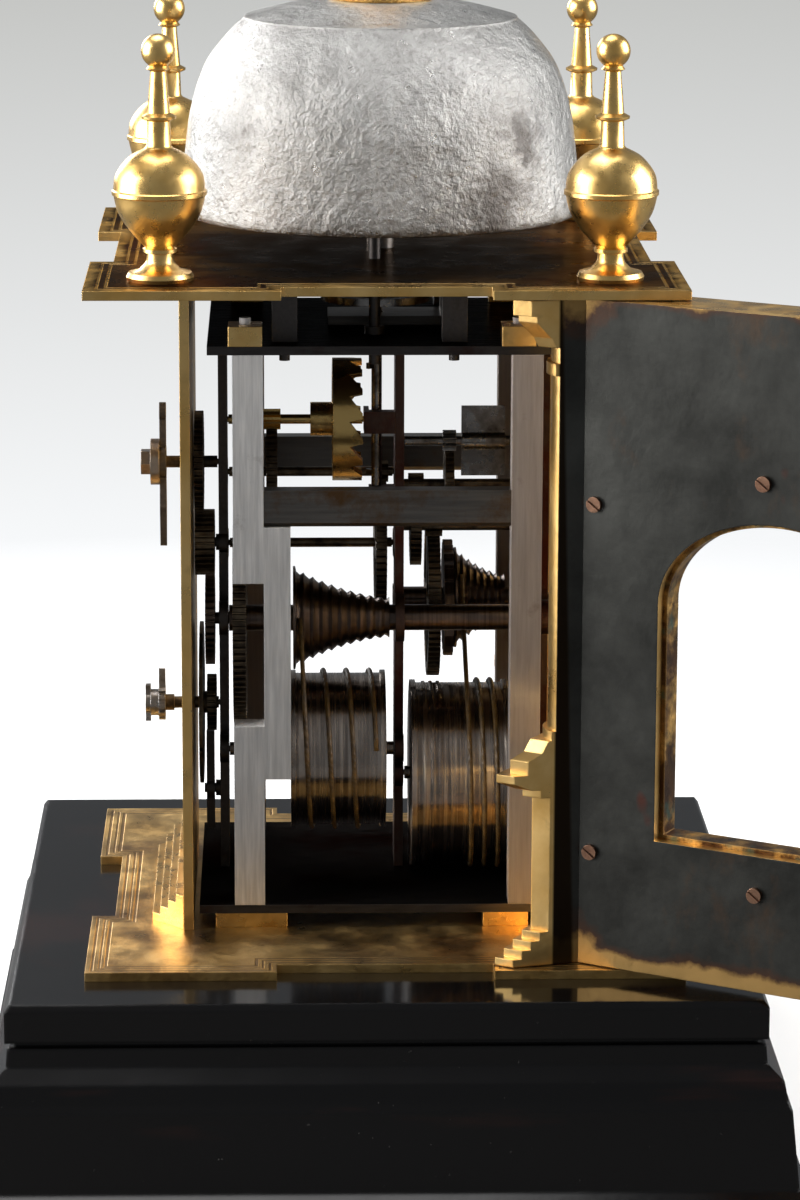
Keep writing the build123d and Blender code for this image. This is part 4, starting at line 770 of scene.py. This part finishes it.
bell_side = (
    (BELL_RADIUS - 0.0006, RIM + 0.0004),
    (BELL_RADIUS, RIM + 0.0035),
    (BELL_RADIUS - 0.0012, RIM + 0.017),
    (BELL_RADIUS - 0.0028, RIM + 0.028),
    (BELL_RADIUS - 0.0065, RIM + 0.039),
    (BELL_RADIUS - 0.0120, RIM + 0.0465),
    (BELL_RADIUS - 0.0165, RIM + 0.0508),
    (BELL_RADIUS - 0.0185, RIM + 0.0520),
    (0.0200, CROWN - 0.0012),
    (BELL_HOLE, CROWN),
)
bell_outside = smooth_outline(bell_side)
bell_inside = [
    (
        max(radius - BELL_WALL, BELL_HOLE),
        height - CROWN_WALL * min(1, (height - RIM) / CROWN_WALL_FULL),
    )
    for radius, height in bell_outside
]
bell_lip = [(BELL_RADIUS - 0.0034, RIM + 0.0001), (BELL_RADIUS - 0.0010, RIM + 0.0001)]
bell_outline = bell_inside[::-1] + bell_lip + bell_outside
spin_turned("cast_bell", bell_outline, "case", bell_metal, ["bell"], steps=128)
rosette = [(0.0, CROWN + 0.0001)] + smooth_outline((
    (0.0130, CROWN - 0.0005), (0.0132, CROWN + 0.0008), (0.0060, CROWN + 0.0022),
    (0.0036, CROWN + 0.0040), (0.0058, CROWN + 0.0070), (0.0062, CROWN + 0.0095),
    (0.0050, CROWN + 0.0124), (0.0030, CROWN + 0.0141), (0.0, CROWN + 0.0159),
), 4)
BURNISHED = (0.82, 0.50, 0.15)
BURNISHED_PALE = (0.93, 0.63, 0.24)
BURNISHED_DIRT = (0.35, 0.19, 0.07)
bright_gilding, tree, shader, place = new_finish("burnished_gilding")
tone = cloudy_gilt(tree, place, 90, BURNISHED, BURNISHED_PALE)
dirt = remap(tree, mottle(tree, place, 150, 7), 0.66, 0.78, 0, 0.5)
tree.links.new(blend_colour(tree, dirt, tone, BURNISHED_DIRT), shader.inputs["Base Color"])
uneven_metal(tree, shader, mottle(tree, place, 300), 0.24, 0.36)
raise_grain(tree, shader, mottle(tree, place, 500, 4), 0.0001, 0.4)
spin_turned("rosette_nut", rosette, "case", bright_gilding, ["bell_nut"])

# Four finials, turned in brass and burnished after gilding, are screwed to the top plate's
# corner blocks. Each is an urn with a girdle under a slender ringed neck and a ball.
FINIAL_PLACE = 0.057
FINIAL_HEIGHT = 0.062
urn = [(0.0, 0.0), (0.0084, 0.0), (0.0086, 0.0009), (0.0080, 0.0020), (0.0054, 0.0027)]
urn += smooth_outline(((0.0054, 0.0027), (0.0036, 0.0046), (0.0033, 0.0068)), 4)
urn += [(0.0043, 0.0071), (0.0043, 0.0080), (0.0038, 0.0083)]
urn += smooth_outline(((0.0038, 0.0083), (0.0076, 0.0126), (0.0104, 0.0170), (0.0116, 0.0214)), 5)
urn += [(0.0120, 0.0217), (0.0120, 0.0227), (0.0116, 0.0230)]
urn += smooth_outline(((0.0116, 0.0230), (0.0109, 0.0270), (0.0076, 0.0312), (0.0036, 0.0334)), 5)
neck = [(0.0031, 0.0340), (0.0029, 0.0402), (0.0043, 0.0408), (0.0044, 0.0414), (0.0029, 0.0422)]
neck += [(0.0020, 0.0526), (0.0030, 0.0532), (0.0024, 0.0540)]
BALL = 0.0043
BALL_MIDDLE = FINIAL_HEIGHT - BALL
ball = [
    (BALL * math.cos(math.radians(angle)), BALL_MIDDLE + BALL * math.sin(math.radians(angle)))
    for angle in range(-54, 91, 9)
]
corners = [(x * FINIAL_PLACE, y * FINIAL_PLACE, ROOF) for x in (1, -1) for y in (-1, 1)]
finial = urn + neck + ball[:-1] + [(0.0, FINIAL_HEIGHT)]
spin_turned(
    "turned_finials", finial, "case", bright_gilding, ["corner_finials"],
    places=corners, steps=64,
)

# The clock stands on a pale table that fades into a studio backdrop, white behind the movement
# and grey at the top of the picture. Two broad lamps stand at its left and right, with weaker
# ones above and behind.
TABLE_HALF = 1.4
TABLE_CLEAR = 0.3
TABLE_GONE = 0.75
TABLE_SEEN = (0.88, 0.88, 0.88)
TABLE_LIT = (0.10, 0.10, 0.10)
table_paper, tree, shader, place = new_finish("table_paper")
seen = tree.nodes.new("ShaderNodeLightPath")
paper_tone = blend_colour(tree, seen.outputs["Is Camera Ray"], TABLE_LIT, TABLE_SEEN)
tree.links.new(paper_tone, shader.inputs["Base Color"])
shader.inputs["Roughness"].default_value = 0.85
away = tree.nodes.new("ShaderNodeVectorMath")
away.operation = "LENGTH"
tree.links.new(place, away.inputs[0])
fade = remap(tree, away.outputs["Value"], TABLE_CLEAR, TABLE_GONE, 0, 1)
clear = tree.nodes.new("ShaderNodeBsdfTransparent")
paper = tree.nodes.new("ShaderNodeMixShader")
tree.links.new(fade, paper.inputs[0])
tree.links.new(shader.outputs[0], paper.inputs[1])
tree.links.new(clear.outputs[0], paper.inputs[2])
tree.links.new(paper.outputs[0], tree.nodes["Material Output"].inputs["Surface"])
mesh = bmesh.new()
bmesh.ops.create_grid(mesh, x_segments=8, y_segments=8, size=TABLE_HALF)
data = bpy.data.meshes.new("table_top")
mesh.to_mesh(data)
table = bpy.data.objects.new("table_top", data)
data.materials.append(table_paper)
scene.collection.objects.link(table)

WHITE_BELOW = -0.225
GREY_ABOVE = -0.085
BACKDROP_WHITE = (0.97, 0.985, 1.0)
BACKDROP_GREY = (0.55, 0.555, 0.54)
ROOM_TINT = (0.9, 0.95, 1.0)
ROOM_STRENGTH = 0.2
world = bpy.data.worlds.new("studio")
scene.world = world
world.use_nodes = True
tree = world.node_tree
tree.nodes.clear()
output = tree.nodes.new("ShaderNodeOutputWorld")
room = tree.nodes.new("ShaderNodeBackground")
room.inputs["Color"].default_value = (*ROOM_TINT, 1)
room.inputs["Strength"].default_value = ROOM_STRENGTH
shown = tree.nodes.new("ShaderNodeBackground")
direction = tree.nodes.new("ShaderNodeTexCoord")
split = tree.nodes.new("ShaderNodeSeparateXYZ")
tree.links.new(direction.outputs["Generated"], split.inputs[0])
rise = remap(tree, split.outputs["Z"], WHITE_BELOW, GREY_ABOVE, 0, 1)
backdrop = blend_colour(tree, rise, BACKDROP_WHITE, BACKDROP_GREY)
tree.links.new(backdrop, shown.inputs["Color"])
seen = tree.nodes.new("ShaderNodeLightPath")
choose = tree.nodes.new("ShaderNodeMixShader")
tree.links.new(seen.outputs["Is Camera Ray"], choose.inputs[0])
tree.links.new(room.outputs[0], choose.inputs[1])
tree.links.new(shown.outputs[0], choose.inputs[2])
tree.links.new(choose.outputs[0], output.inputs["Surface"])

for name, stand, aim, size, power in (
    ("left_soft_lamp", (0.08, -0.98, 0.46), (0, 0, 0.2), 0.95, 25),
    ("right_soft_lamp", (0.05, 0.95, 0.55), (0, 0, 0.2), 0.8, 17),
    ("top_lamp", (-0.15, -0.1, 1.1), (0, 0, 0.25), 0.6, 5.5),
    ("back_lamp", (-0.9, -0.55, 0.5), (0, 0, 0.16), 0.5, 6.0),
):
    lamp_data = bpy.data.lights.new(name, "AREA")
    lamp_data.size = size
    lamp_data.energy = power
    lamp = bpy.data.objects.new(name, lamp_data)
    lamp.location = stand
    lamp.rotation_euler = (Vector(aim) - Vector(stand)).to_track_quat("-Z", "Y").to_euler()
    scene.collection.objects.link(lamp)
